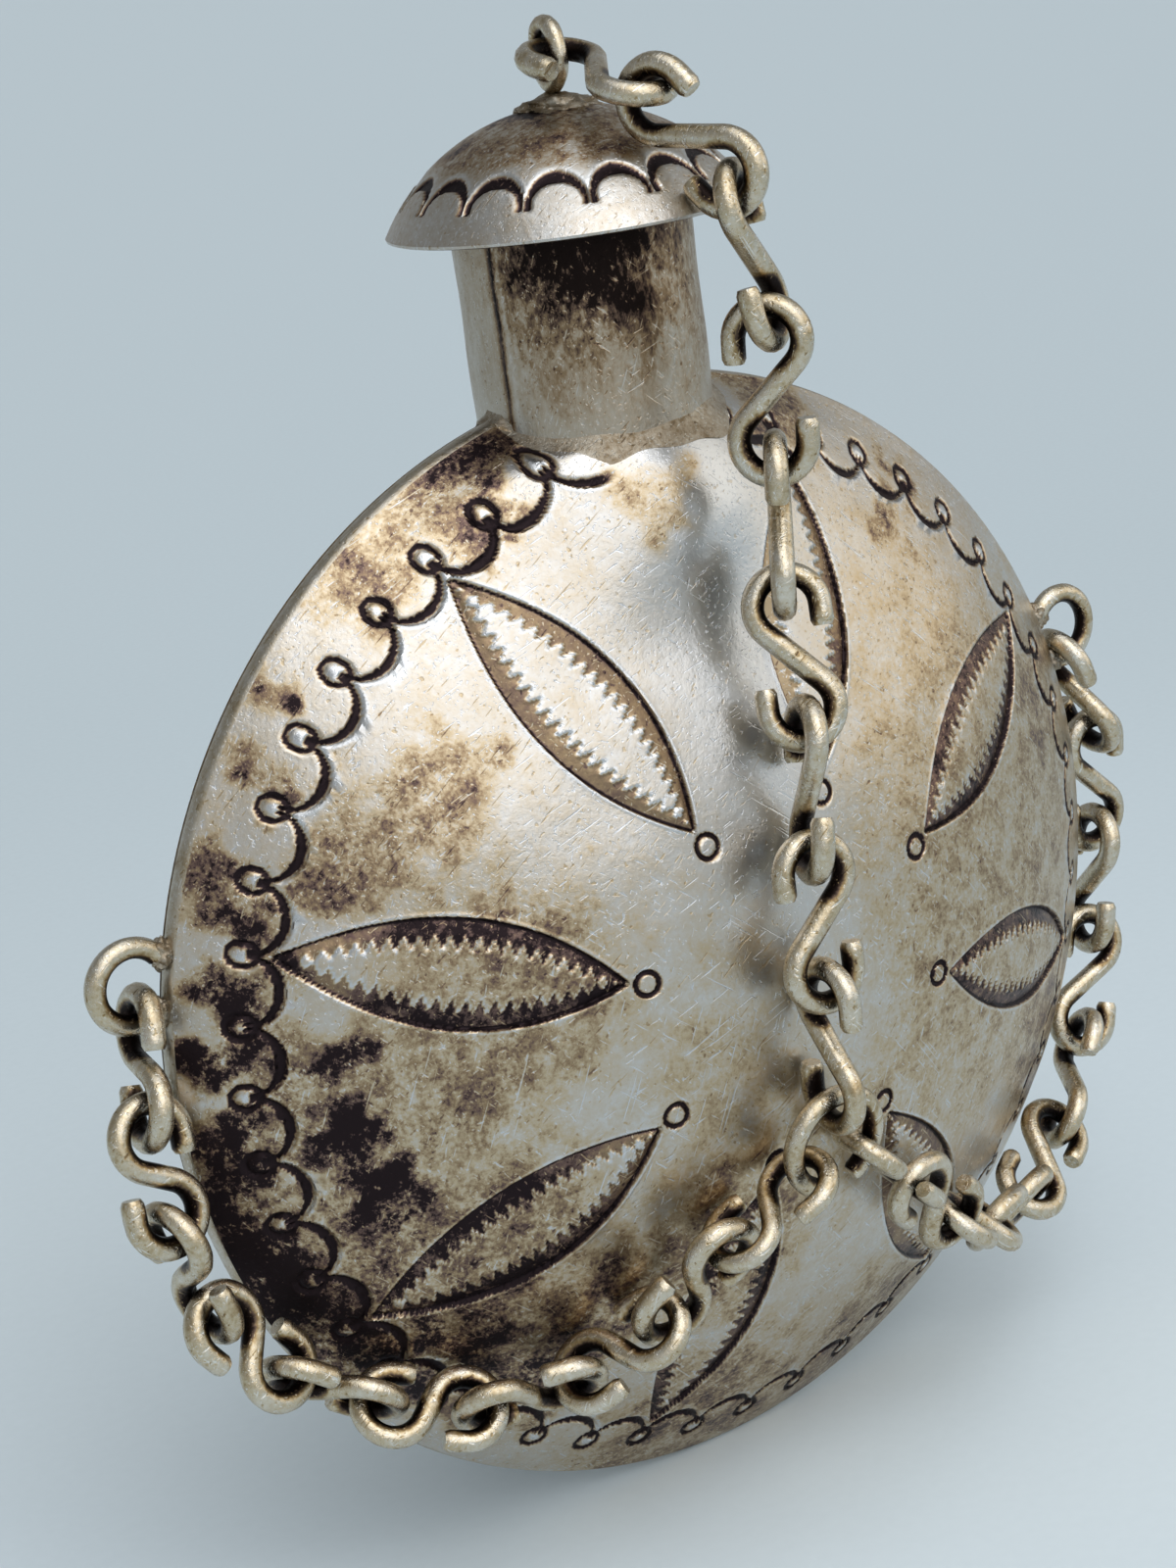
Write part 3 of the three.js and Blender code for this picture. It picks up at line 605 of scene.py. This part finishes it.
# Lighter towards the neck's foot: how far the film thins and the heights over which it thickens again
FOOT_LIGHTENING = 0.17
FOOT_LIGHTENING_HEIGHTS = (60.8, 68.0)
# A painted highlight on the strip left of the lap: how far it thins the film and the turns past the lap over
# which it comes in
LEFT_OF_LAP_HIGHLIGHT = 0.1
LEFT_OF_LAP_HIGHLIGHT_TURNS = (290.0, 345.0)
neck_silver = aged_silver(
    "browned_rolled_silver", ("#c0b9ae", "#ab9b86", "#8d765a", "#5c4a40", "#201917"),
    roughness=0.3, grain=0.9, streak=0.55)
neck_bore = NECK_RADIUS - NECK_WALL
neck_outline = [(NECK_RADIUS, z) for z in np.linspace(NECK_BOTTOM, NECK_TOP - NECK_OUTER_BREAK, NECK_RINGS)]
neck_outline += [(NECK_RADIUS - NECK_OUTER_BREAK, NECK_TOP), (neck_bore + NECK_INNER_BREAK, NECK_TOP)]
neck_outline += [(neck_bore, NECK_TOP - NECK_INNER_BREAK), (neck_bore, NECK_BOTTOM)]
neck_outline += [(NECK_RADIUS, NECK_BOTTOM)]
neck = spun("neck_tube_lapped", [(r, 0.0, z) for r, z in neck_outline], NECK_SECTORS, (0, 0, 0), (0, 0, 1))
neck_points = points_of(neck)
neck_turn = np.degrees(np.arctan2(neck_points[:, 1], neck_points[:, 0]))
past_lap = np.mod(neck_turn - LAP_ANGLE, 360.0)
outer_skin = np.hypot(neck_points[:, 0], neck_points[:, 1]) > NECK_RADIUS - NECK_WALL / 2
lapped = LAP_STEP * np.exp(-past_lap / LAP_REACH)
wavy = NECK_WAVE * np.sin(0.9 * neck_points[:, 2] + np.radians(2 * neck_turn))
neck_points[:, :2] *= (1 + outer_skin * (lapped + wavy) / NECK_RADIUS)[:, None]
set_points(neck, neck_points)
from_lap = np.radians(np.minimum(past_lap, 360.0 - past_lap)) * NECK_RADIUS
lap_edge = np.radians(past_lap) * NECK_RADIUS
neck_height = neck_points[:, 2]
# Film thinned left of the lap as a painted highlight
neck_film = NECK_FILM - LEFT_OF_LAP_HIGHLIGHT * smooth_step(past_lap, *LEFT_OF_LAP_HIGHLIGHT_TURNS)
# Darker towards the top under the cap: brown stain and painted shade of the brim
stain_and_shade = bell(past_lap - STAIN_AND_SHADE_PAST_LAP, STAIN_AND_SHADE_HALF_WIDTH) * smooth_step(neck_height, *STAIN_AND_SHADE_HEIGHTS)
neck_film += STAIN_AND_SHADE_FILM * stain_and_shade
# Lighter towards the foot
neck_film -= FOOT_LIGHTENING * (1 - smooth_step(neck_height, *FOOT_LIGHTENING_HEIGHTS))
# Painted shadow along the lap and painted glint beside its edge, carried in the marks
lap_shadow_and_glint = LAP_SHADOW * bell(from_lap, LAP_SHADOW_HALF_WIDTH)
lap_shadow_and_glint -= LAP_GLINT * bell(lap_edge - LAP_GLINT_PLACE, LAP_GLINT_HALF_WIDTH)
set_film(neck, np.where(outer_skin, neck_film, INNER_FILM), outer_skin * lap_shadow_and_glint)
dress(neck, neck_silver, "canteen", "browned_silver_sheet", "neck_tube")


# Neck solder: the fillet that ran round the foot of the neck, pale, crusty and uneven in width.
# It climbs over the swelling of each shell and dips at the seam.
FILLET_HEIGHT = 0.55
FILLET_WIDTH = 0.75
FILLET_SECTIONS = 240
FILLET_LIFT = 0.02
FILLET_FILM = 0.36
# The fillet's ragged edge: waves round the neck, their share of its size and where they start
RAGGED_WAVES = ((5, 0.2, 0.5), (11, 0.12, 0.0))
FILLET_PROFILE = [
    (-0.15, -0.3), (-0.05, 1.0), (0.06, 0.62), (0.2, 0.34),
    (0.45, 0.15), (0.75, 0.06), (1.0, 0.0), (0.9, -0.3),
]
LOWEST_FOOT = 14.0
RIM_PROUD = 0.1
FOOT_STEPS = 1400
solder_silver = aged_silver(
    "pale_pitted_solder", ("#bdb7ab", "#9d917f", "#806f57", "#5b4e44", "#2b2320"), roughness=0.42, grain=1.4)


def foot_height(x, y):
    """Height above the disc's centre at which the neck's surface meets a shell."""
    top = math.sqrt((DISC_RADIUS + RIM_PROUD) ** 2 - x * x)
    heights = np.linspace(top, LOWEST_FOOT, FOOT_STEPS)
    met = shell_depth(np.full_like(heights, x), heights) >= abs(y)
    return heights[np.argmax(met)] if met.any() else LOWEST_FOOT


fillet_points = []
fillet_faces = []
profile_size = len(FILLET_PROFILE)
for i in range(FILLET_SECTIONS):
    turn = 2 * math.pi * i / FILLET_SECTIONS
    ragged = 1 + sum(share * math.sin(waves * turn + start) for waves, share, start in RAGGED_WAVES)
    following = (i + 1) % FILLET_SECTIONS
    for j, (reach, lift) in enumerate(FILLET_PROFILE):
        r = NECK_RADIUS + FILLET_WIDTH * ragged * reach
        x, y = r * math.cos(turn), r * math.sin(turn)
        z = DISC_CENTRE_Z + foot_height(x, y) + FILLET_LIFT + FILLET_HEIGHT * ragged * lift
        fillet_points.append((x * MM, y * MM, z * MM))
        beside = (j + 1) % profile_size
        fillet_faces.append((i * profile_size + j, following * profile_size + j,
                             following * profile_size + beside, i * profile_size + beside))
fillet_mesh = bpy.data.meshes.new("neck_solder_fillet")
fillet_mesh.from_pydata(fillet_points, [], fillet_faces)
fillet = new_piece("neck_solder_fillet", fillet_mesh)
weld()
set_film(fillet, FILLET_FILM)
dress(fillet, solder_silver, "canteen", "silver_solder", "neck_solder_bead")


# Cap: a disc of sheet sunk into a dome, with a ring of crescent punch marks and a brim wider than the neck.
# Fingers have kept its brim bright; above the punch marks it has gone brown, and dark round the ring's foot.
CAP_SPHERE = 11.484
CAP_CENTRE_Z = 67.70
CAP_RADIUS = 9.95
CAP_WALL = 0.7
CAP_SECTORS = 336
CAP_RINGS = 72
CAP_INNER_RINGS = 14
# The dome's two skins stop this many radians short of the brim, whose rounded edge is drawn by its distance
# from the full radius and from the brim's height
CAP_SKIN_SHORT = 0.012
CAP_INNER_SHORT = 0.03
CAP_EDGE = [(-0.01, 0.02), (-0.06, -0.12), (-0.3, -0.2), (-0.62, -0.1)]
CAP_CRESCENTS = 16
CAP_CUSP_RADIUS = 8.75
CAP_CRESCENT_SAG = 1.4
CAP_CRESCENT_HALF_CHORD = 1.64
CAP_CRESCENT_LINE = 0.5
CAP_CRESCENT_DEPTH = 0.18
CAP_MARKS_TURN = 4.0
CAP_LIP_PLACE = 0.15
CAP_LIP_HALF_WIDTH = 0.12
CAP_LIP_BELOW_CUSP = 0.2
CAP_MARK_FILM = 0.55
CAP_LIP_RUB = 0.15
BRIM_FILM = 0.28
CROWN_FILM = 0.18
CROWN_END = (6.4, 7.8)
RING_FOOT_FILM = 0.2
RING_FOOT_END = (2.0, 4.5)
cap_silver = aged_silver(
    "handled_domed_silver", ("#cfcfce", "#b5a998", "#977f61", "#685450", "#292123"),
    roughness=0.31, grain=0.5)
cap_centre = np.array([0.0, 0.0, CAP_CENTRE_Z])
cap_edge = math.asin(CAP_RADIUS / CAP_SPHERE)
cap_brim_z = CAP_CENTRE_Z + CAP_SPHERE * math.cos(cap_edge)
cap_outline = [(CAP_SPHERE * math.sin(a), CAP_CENTRE_Z + CAP_SPHERE * math.cos(a))
               for a in np.linspace(0.0, cap_edge - CAP_SKIN_SHORT, CAP_RINGS)]
cap_outline += [(CAP_RADIUS + out, cap_brim_z + up) for out, up in CAP_EDGE]
cap_inner = CAP_SPHERE - CAP_WALL
cap_outline += [(cap_inner * math.sin(a), CAP_CENTRE_Z + cap_inner * math.cos(a))
                for a in np.linspace(cap_edge - CAP_INNER_SHORT, 0.0, CAP_INNER_RINGS)]
cap = spun("cap_dome_punched", [(r, 0.0, z) for r, z in cap_outline], CAP_SECTORS, (0, 0, 0), (0, 0, 1))
cap_points = points_of(cap) - cap_centre
cap_r = np.hypot(cap_points[:, 0], cap_points[:, 1])
cap_outer = np.linalg.norm(cap_points, axis=1) > CAP_SPHERE - CAP_WALL / 3
cap_turn = np.degrees(np.arctan2(cap_points[:, 1], cap_points[:, 0])) + CAP_MARKS_TURN
cap_spacing = 360 / CAP_CRESCENTS
along = np.radians(np.mod(cap_turn, cap_spacing) - cap_spacing / 2) * CAP_CUSP_RADIUS
cap_mark, past_mark = crescent(along, CAP_CUSP_RADIUS - cap_r, CAP_CRESCENT_HALF_CHORD, CAP_CRESCENT_SAG,
                               CAP_CRESCENT_LINE)
cap_mark = cap_mark * cap_outer
set_points(cap, cap_points * (1 - cap_mark * CAP_CRESCENT_DEPTH / CAP_SPHERE)[:, None] + cap_centre)
cap_film = BRIM_FILM + CROWN_FILM * (1 - smooth_step(cap_r, *CROWN_END))
cap_film += RING_FOOT_FILM * (1 - smooth_step(cap_r, *RING_FOOT_END))
cap_lip = bell(past_mark - CAP_LIP_PLACE, CAP_LIP_HALF_WIDTH)
cap_lip = cap_lip * (cap_r < CAP_CUSP_RADIUS - CAP_LIP_BELOW_CUSP) * cap_outer
cap_marks = CAP_MARK_FILM * cap_mark - CAP_LIP_RUB * cap_lip
set_film(cap, np.where(cap_outer, cap_film, INNER_FILM), cap_marks)
dress(cap, cap_silver, "stopper", "polished_silver_sheet", "cap_dome")


# Stopper plug: a short sleeve of sheet soldered under the cap. It slides in the neck, holds by friction and
# is out of sight while the stopper is in.
PLUG_RADIUS = 5.65
PLUG_WALL = 0.6
PLUG_BOTTOM = 68.98
PLUG_TOP = 76.58
PLUG_SECTORS = 128
PLUG_RINGS = 16
# The sleeve's lower edge, eased to enter the neck: distance from the outer face and from the bottom
PLUG_EDGE = [(0.0, 0.2), (-0.15, 0.0), (0.12 - PLUG_WALL, 0.0), (-PLUG_WALL, 0.15)]
PLUG_FILM = 0.46
plug_silver = aged_silver(
    "rubbed_brown_silver", ("#b8aea0", "#998a74", "#7d6a50", "#56473c", "#2a221e"),
    roughness=0.32, grain=0.6, streak=0.3)
plug_outline = [(PLUG_RADIUS, z) for z in np.linspace(PLUG_TOP, PLUG_BOTTOM + PLUG_EDGE[0][1], PLUG_RINGS)]
plug_outline += [(PLUG_RADIUS + out, PLUG_BOTTOM + up) for out, up in PLUG_EDGE[1:]]
plug_outline += [(PLUG_RADIUS - PLUG_WALL, PLUG_TOP), (PLUG_RADIUS, PLUG_TOP)]
plug = spun("stopper_plug_sleeve", [(r, 0.0, z) for r, z in plug_outline], PLUG_SECTORS, (0, 0, 0), (0, 0, 1))
set_film(plug, PLUG_FILM)
dress(plug, plug_silver, "stopper", "browned_silver_sheet", "stopper_plug")


# Cap ring: a loop of wire stood on edge on the crown, its joint buried in a crusty lump of solder.
# The first chain link hooks through it.
RING_CENTRE = np.array([0.0, 0.0, 81.83])
RING_RADIUS = 1.6
RING_WIRE = 0.49
RING_ACROSS = np.array([0.242, 0.970, 0.0])
RING_UP = np.array([0.0, 0.0, 1.0])
RING_SAMPLES = 72
RING_GAUGE_WAVE = 0.04
RING_FOOT_PLACE = (0.1, -0.1, 78.95)
RING_FOOT_SIZE = (2.5, 2.5, 1.0)
WIRE_BEVEL_STEPS = 4
WIRE_FILM = 0.32
# Tarnish and painted shade inside the wire's bends: their film, where they start and how far they take to
# grow
HOOK_FILM_AND_SHADE = 0.55
CREVICE_START = 0.1
CREVICE_REACH = 0.4
LUMP_FILM = 0.4
LUMP_SIZE = 0.82
LUMP_CRUST = 0.3
LUMP_CRUST_WAVES = 1.6
# Drawn wire shines like new where it rubs, is straw and brown between, and black inside its bends, with
# tarnish and painted shade
wire_silver = aged_silver(
    "worn_silver_wire", ("#dcd8cf", "#bfb094", "#957e58", "#5b4b3f", "#211a18"), roughness=0.22, grain=0.8)


def bent_wire(name, path, radius, closed=False, ends=1.0):
    """Round wire bent along a path of points in mm, its cut ends closed and drawn in by the share given."""
    curve = bpy.data.curves.new(name, "CURVE")
    curve.dimensions = "3D"
    curve.bevel_depth = MM
    curve.bevel_resolution = WIRE_BEVEL_STEPS
    curve.use_fill_caps = not closed
    spline = curve.splines.new("POLY")
    spline.points.add(len(path) - 1)
    spline.points.foreach_set("co", np.column_stack([np.array(path) * MM, np.ones(len(path))]).ravel())
    spline.use_cyclic_u = closed
    sizes = np.broadcast_to(np.array(radius, dtype=float), len(path)).copy()
    sizes[[0, -1]] *= ends
    spline.points.foreach_set("radius", sizes)
    new_piece(name, curve)
    bpy.ops.object.convert(target="MESH")
    weld()
    return bpy.context.object


def bend_tarnish_and_shade(distance, radius):
    """Tarnish and painted shade on the inside of a bend, by the distance of each point from the middle of the
    bend.
    """
    return HOOK_FILM_AND_SHADE * np.clip((radius - CREVICE_START - distance) / CREVICE_REACH, 0, 1)


def solder_lump(name, centre, size, seed):
    """A small run of solder: a ball pushed out of round in low waves."""
    bpy.ops.object.select_all(action="DESELECT")
    bpy.ops.mesh.primitive_uv_sphere_add(segments=40, ring_count=24, radius=MM)
    lump = bpy.context.object
    lump.name = name
    ball = points_of(lump)
    shift = Vector((seed, 0, 0))
    crust = [space_noise.fractal(Vector(p) * LUMP_CRUST_WAVES + shift, 0.9, 2.0, 4) for p in ball]
    crusted = ball * (LUMP_SIZE + LUMP_CRUST * np.array(crust))[:, None]
    set_points(lump, crusted * np.array(size) + np.array(centre))
    set_film(lump, LUMP_FILM)
    return lump


ring_turns = np.linspace(0, 2 * math.pi, RING_SAMPLES, endpoint=False)
ring_path = [RING_CENTRE + RING_RADIUS * (math.cos(a) * RING_UP + math.sin(a) * RING_ACROSS)
             for a in ring_turns]
ring_gauge = RING_WIRE * (1 - RING_GAUGE_WAVE * (1 + np.cos(5 * ring_turns)))
cap_ring = bent_wire("cap_ring_bent", ring_path, ring_gauge, closed=True)
set_film(cap_ring, WIRE_FILM, bend_tarnish_and_shade(np.linalg.norm(points_of(cap_ring) - RING_CENTRE, axis=1), RING_RADIUS))
dress(cap_ring, wire_silver, "stopper", "worn_silver_wire", "cap_ring")
ring_foot = solder_lump("cap_ring_solder", RING_FOOT_PLACE, RING_FOOT_SIZE, seed=1.0)
dress(ring_foot, solder_silver, "stopper", "silver_solder")


# Lugs: short bits of wire bent to a loop, their feet soldered to the rim high on each side.
# The side chains hang from them.
LUG_WIRE = 0.58
LUG_RADIUS = 2.05
LUG_PLACE = 34.0
LUG_HALF_TURN = math.radians(131)
LUG_SAMPLES = 56
LUG_LUMP_SIZE = (0.95, 0.8, 0.95)
LUG_LUMP_INSET = 0.25
# Side, degrees from the top of the disc, and the way it stands out along X
LUGS = (("left", 77, -1), ("right", 73, 1))
for side_name, lug_angle, lean in LUGS:
    outward = np.array([lean * math.sin(math.radians(lug_angle)), 0.0, math.cos(math.radians(lug_angle))])
    sideways = np.array([-outward[2], 0.0, outward[0]])
    lug_centre = LUG_PLACE * outward + np.array([0, 0, DISC_CENTRE_Z])
    lug_path = [lug_centre + LUG_RADIUS * (math.cos(a) * outward + math.sin(a) * sideways)
                for a in np.linspace(-LUG_HALF_TURN, LUG_HALF_TURN, LUG_SAMPLES)]
    lug = bent_wire(f"{side_name}_lug_bent", lug_path, LUG_WIRE)
    set_film(lug, WIRE_FILM, bend_tarnish_and_shade(np.linalg.norm(points_of(lug) - lug_centre, axis=1), LUG_RADIUS))
    dress(lug, wire_silver, "canteen", "worn_silver_wire", f"{side_name}_lug")
    for number, lug_end in enumerate((lug_path[0], lug_path[-1]), 1):
        lump_name = f"{side_name}_lug_solder_{number}"
        lump = solder_lump(lump_name, lug_end - LUG_LUMP_INSET * outward, LUG_LUMP_SIZE, seed=2.0 + number)
        dress(lump, solder_silver, "canteen", "silver_solder")


# Chain links: every link is one length of round wire bent into an S of two open hooks, one through the next.
# The tops are worn bright, and the insides of the hooks are black with tarnish and painted shade.
LINK_WIRE = 0.66
END_LINK_WIRE = 0.6
HOOK_RADIUS = 1.8
LINK_TAIL = 1.2
LINK_SAMPLES = 73
CAD_LINK_SAMPLES = 21
LINK_BOW = 0.07
LINK_GAUGE_WAVE = 0.03
CUT_END = 0.8
BOX_MARGIN = 0.001
# Where each chain starts, the length of its links between the middles of their hooks, and their number
CHAINS = (("stopper", 5.3, 9), ("left", 4.0, 10), ("right", 5.0, 10))


def link_path(spacing, samples):
    """The S of a link in its own plane: X across, Z along, sampled evenly along the wire, in mm."""
    half = spacing / 2
    lean = math.asin(HOOK_RADIUS / half)
    straight = HOOK_RADIUS / math.tan(lean)
    arc = HOOK_RADIUS * (math.pi + lean)
    path = []
    for s in np.linspace(-1, 1, samples) * (straight + arc + LINK_TAIL):
        sign, s = (1 if s >= 0 else -1), abs(s)
        if s <= straight:
            x, z = s * math.sin(lean), s * math.cos(lean)
        elif s <= straight + arc:
            turn = (s - straight) / HOOK_RADIUS - lean
            x, z = HOOK_RADIUS * math.cos(turn), half + HOOK_RADIUS * math.sin(turn)
        else:
            x, z = -HOOK_RADIUS, half - (s - straight - arc)
        path.append((sign * x, 0.0, sign * z))
    return np.array(path)


def link_place(node, path):
    """Turn and centre of a CAD link, from its principal directions set against those of its flat path."""
    corners = np.unique(points_of(bpy.data.objects[node]).round(4), axis=0)
    centre = corners.mean(axis=0)
    cad_axes = np.linalg.eigh(np.cov((corners - centre).T))[1]
    path_axes = np.linalg.eigh(np.cov(path.T))[1]
    turns = []
    for signs in np.ndindex(2, 2, 2):
        turn = cad_axes @ np.diag(1 - 2 * np.array(signs)) @ path_axes.T
        placed = path @ turn.T + centre
        miss = np.linalg.norm(placed[:, None, :] - corners[None, :, :], axis=2).min(axis=1).mean()
        if np.linalg.det(turn) > 0:
            turns.append((miss, signs, turn))
    return min(turns, key=lambda found: found[:2])[2], centre


box_low = np.array(cad_low) / MM + BOX_MARGIN
box_high = np.array(cad_high) / MM - BOX_MARGIN
for chain, spacing, count in CHAINS:
    for number in range(1, count + 1):
        node = f"{chain}_chain_{number:02d}"
        turn, centre = link_place(node, link_path(spacing, CAD_LINK_SAMPLES))
        path = link_path(spacing, LINK_SAMPLES)
        path[:, 1] += LINK_BOW * np.sin(1.9 * number + np.linspace(0, 5, LINK_SAMPLES))
        at_junction = chain != "stopper" and number == count
        gauge = END_LINK_WIRE if at_junction else LINK_WIRE
        gauge_wave = 1 + np.sin(2.3 * number + np.linspace(0, 9, LINK_SAMPLES))
        link = bent_wire(f"{node}_bent", path, gauge * (1 - LINK_GAUGE_WAVE * gauge_wave), ends=CUT_END)
        flat = points_of(link)
        hooks = [np.hypot(flat[:, 0], flat[:, 2] + end * spacing / 2) for end in (-1, 1)]
        bent = flat @ turn.T + centre
        set_points(link, np.clip(bent, box_low, box_high))
        set_film(link, WIRE_FILM, bend_tarnish_and_shade(np.minimum(*hooks), HOOK_RADIUS))
        dress(link, wire_silver, node, "worn_silver_wire", node)


# Junction ring: a wire bent almost closed, where the three runs of chain meet in front of the body.
# Its gap points down.
JUNCTION_CENTRE = np.array([-1.28, -15.34, 23.86])
JUNCTION_RADIUS = 2.8
JUNCTION_WIRE = 0.58
JUNCTION_HALF_TURN = math.radians(154.5)
JUNCTION_TOP = np.array([0.0, -0.178, 0.984])
JUNCTION_LEFT = np.array([-1.0, 0.0, 0.0])
junction_turns = np.linspace(-JUNCTION_HALF_TURN, JUNCTION_HALF_TURN, RING_SAMPLES)
junction_round = [math.cos(a) * JUNCTION_TOP + math.sin(a) * JUNCTION_LEFT for a in junction_turns]
junction_path = [JUNCTION_CENTRE + JUNCTION_RADIUS * p for p in junction_round]
junction = bent_wire("junction_ring_bent", junction_path, JUNCTION_WIRE, ends=CUT_END)
from_junction = np.linalg.norm(points_of(junction) - JUNCTION_CENTRE, axis=1)
set_film(junction, WIRE_FILM, bend_tarnish_and_shade(from_junction, JUNCTION_RADIUS))
dress(junction, wire_silver, "junction_ring", "worn_silver_wire", "junction_ring")


# Setting: the canteen stands on a pale blue-grey paper sweep with a pool of light painted on it in front, in
# a room of soft light from broad windows. The room is dimmer above, behind and a little to the left, which
# the domed silver mirrors.
FLOOR_SIZE = 40.0
PAPER_FIBRE = 0.8
PAPER_FIBRE_SHARE = 0.15
# A pool of light painted on the paper in front of the canteen: its middle in m, the distances at which it
# ends and is whole, and how far it lightens the paper
PAINTED_LIGHT_POOL_PLACE = (-0.06, -0.12, 0.0)
PAINTED_LIGHT_POOL_END = 0.34
PAINTED_LIGHT_POOL_WHOLE = 0.03
PAINTED_LIGHT_POOL_SHARE = 0.9
bpy.ops.object.select_all(action="DESELECT")
bpy.ops.mesh.primitive_plane_add(size=FLOOR_SIZE, location=(0, 0, 0))
floor = bpy.context.object
floor.name = "paper_sweep"
# Matt paper: no shine, a faint mottling from its fibre, and a pool of light painted on it in front of the
# canteen
paper = bpy.data.materials.new("pale_blue_grey_paper")
paper.use_nodes = True
paper_tree = paper.node_tree
paper_tree.nodes.clear()
paper_place = add_node(paper_tree, "ShaderNodeTexCoord", out="Object")
paper_fibre = add_node(paper_tree, "ShaderNodeTexNoise", Vector=paper_place, Scale=1 / (PAPER_FIBRE * MM),
                       Detail=3.0)
from_painted_light_pool = add_node(paper_tree, "ShaderNodeVectorMath", {"operation": "DISTANCE"}, out="Value",
                       i0=paper_place, i1=PAINTED_LIGHT_POOL_PLACE)
painted_light_pool = add_node(paper_tree, "ShaderNodeMapRange", {"interpolation_type": "SMOOTHSTEP"},
                      Value=from_painted_light_pool, From_Min=PAINTED_LIGHT_POOL_END, From_Max=PAINTED_LIGHT_POOL_WHOLE,
                      To_Max=PAINTED_LIGHT_POOL_SHARE)
fibre_and_painted_light = add_node(paper_tree, "ShaderNodeMath", {"operation": "MULTIPLY_ADD"}, i0=paper_fibre,
                       i1=PAPER_FIBRE_SHARE, i2=painted_light_pool)
# The lighter of the two colours is the painted pool of light
paper_colour_and_painted_light = add_node(paper_tree, "ShaderNodeMix", {"data_type": "RGBA"}, out=2, Factor=fibre_and_painted_light,
                        i6=linear("#c3cfd5"), i7=linear("#e3eef4"))
paper_shader = add_node(paper_tree, "ShaderNodeBsdfPrincipled", Base_Color=paper_colour_and_painted_light, Roughness=0.9,
                        Specular_IOR_Level=0.1)
add_node(paper_tree, "ShaderNodeOutputMaterial", Surface=paper_shader)
floor.data.materials.append(paper)

world = bpy.data.worlds.new("soft_room")
bpy.context.scene.world = world
world.use_nodes = True
room = world.node_tree
room.nodes.clear()
room_place = add_node(room, "ShaderNodeTexCoord", out="Generated")
room_up = add_node(room, "ShaderNodeSeparateXYZ", out="Z", Vector=room_place)
room_back = room_up.node.outputs["Y"]
room_right = room_up.node.outputs["X"]
room_light = 1.0
# How the light changes along each direction: from, to, and its share at both ends
room_shades = ((room_up, 0.0, 0.95, 0.84, 0.5), (room_back, -0.5, 0.7, 1.0, 0.55),
               (room_right, -0.9, -0.1, 0.9, 1.0))
for direction, start, end, at_start, at_end in room_shades:
    shade = add_node(room, "ShaderNodeMapRange", {"interpolation_type": "SMOOTHSTEP"}, Value=direction,
                     From_Min=start, From_Max=end, To_Min=at_start, To_Max=at_end)
    room_light = add_node(room, "ShaderNodeMath", {"operation": "MULTIPLY"}, i0=room_light, i1=shade)
room_glow = add_node(room, "ShaderNodeBackground", Color=linear("#e4eaed"), Strength=room_light)
room_wall = add_node(room, "ShaderNodeBackground", Color=linear("#bdcad1"))
room_seen = add_node(room, "ShaderNodeLightPath", out="Is Camera Ray")
room_shader = add_node(room, "ShaderNodeMixShader", i0=room_seen, i1=room_glow, i2=room_wall)
add_node(room, "ShaderNodeOutputWorld", Surface=room_shader)


def soft_sun(name, azimuth, elevation, strength, spread, colour):
    """A broad, far panel of light; azimuth 0 is towards -Y and turns towards +X."""
    lamp = bpy.data.lights.new(name, "SUN")
    lamp.energy = strength
    lamp.angle = math.radians(spread)
    lamp.color = linear(colour)[:3]
    holder = bpy.data.objects.new(name, lamp)
    bpy.context.scene.collection.objects.link(holder)
    a, e = math.radians(azimuth), math.radians(elevation)
    towards = Vector((math.sin(a) * math.cos(e), -math.cos(a) * math.cos(e), math.sin(e)))
    holder.rotation_euler = towards.to_track_quat("Z", "Y").to_euler()


soft_sun("front_window", azimuth=-2, elevation=39, strength=1.12, spread=60, colour="#fafbfe")
soft_sun("right_window", azimuth=63, elevation=14, strength=0.42, spread=50, colour="#fff3df")
soft_sun("overhead_panel", azimuth=0, elevation=74, strength=0.85, spread=60, colour="#f4f6f8")

CAMERA_PLACE = (-0.09193, -0.13507, 0.09214)
CAMERA_RIGHT = Vector((0.8074, -0.5752, -0.1316))
CAMERA_UP = Vector((0.2753, 0.1699, 0.9463))
LENS_LENGTH = 69.28
SENSOR_WIDTH = 36.0
NEAREST_SEEN = 0.005
bpy.context.scene.view_settings.view_transform = "Standard"
lens = bpy.data.cameras.new("photo_camera")
lens.lens = LENS_LENGTH
lens.sensor_width = SENSOR_WIDTH
lens.clip_start = NEAREST_SEEN
lens.clip_end = 2 * FLOOR_SIZE
camera = bpy.data.objects.new("photo_camera", lens)
bpy.context.scene.collection.objects.link(camera)
camera_axes = Matrix((CAMERA_RIGHT, CAMERA_UP, CAMERA_RIGHT.cross(CAMERA_UP))).transposed()
camera.matrix_world = Matrix.Translation(CAMERA_PLACE) @ camera_axes.to_4x4()
bpy.context.scene.camera = camera
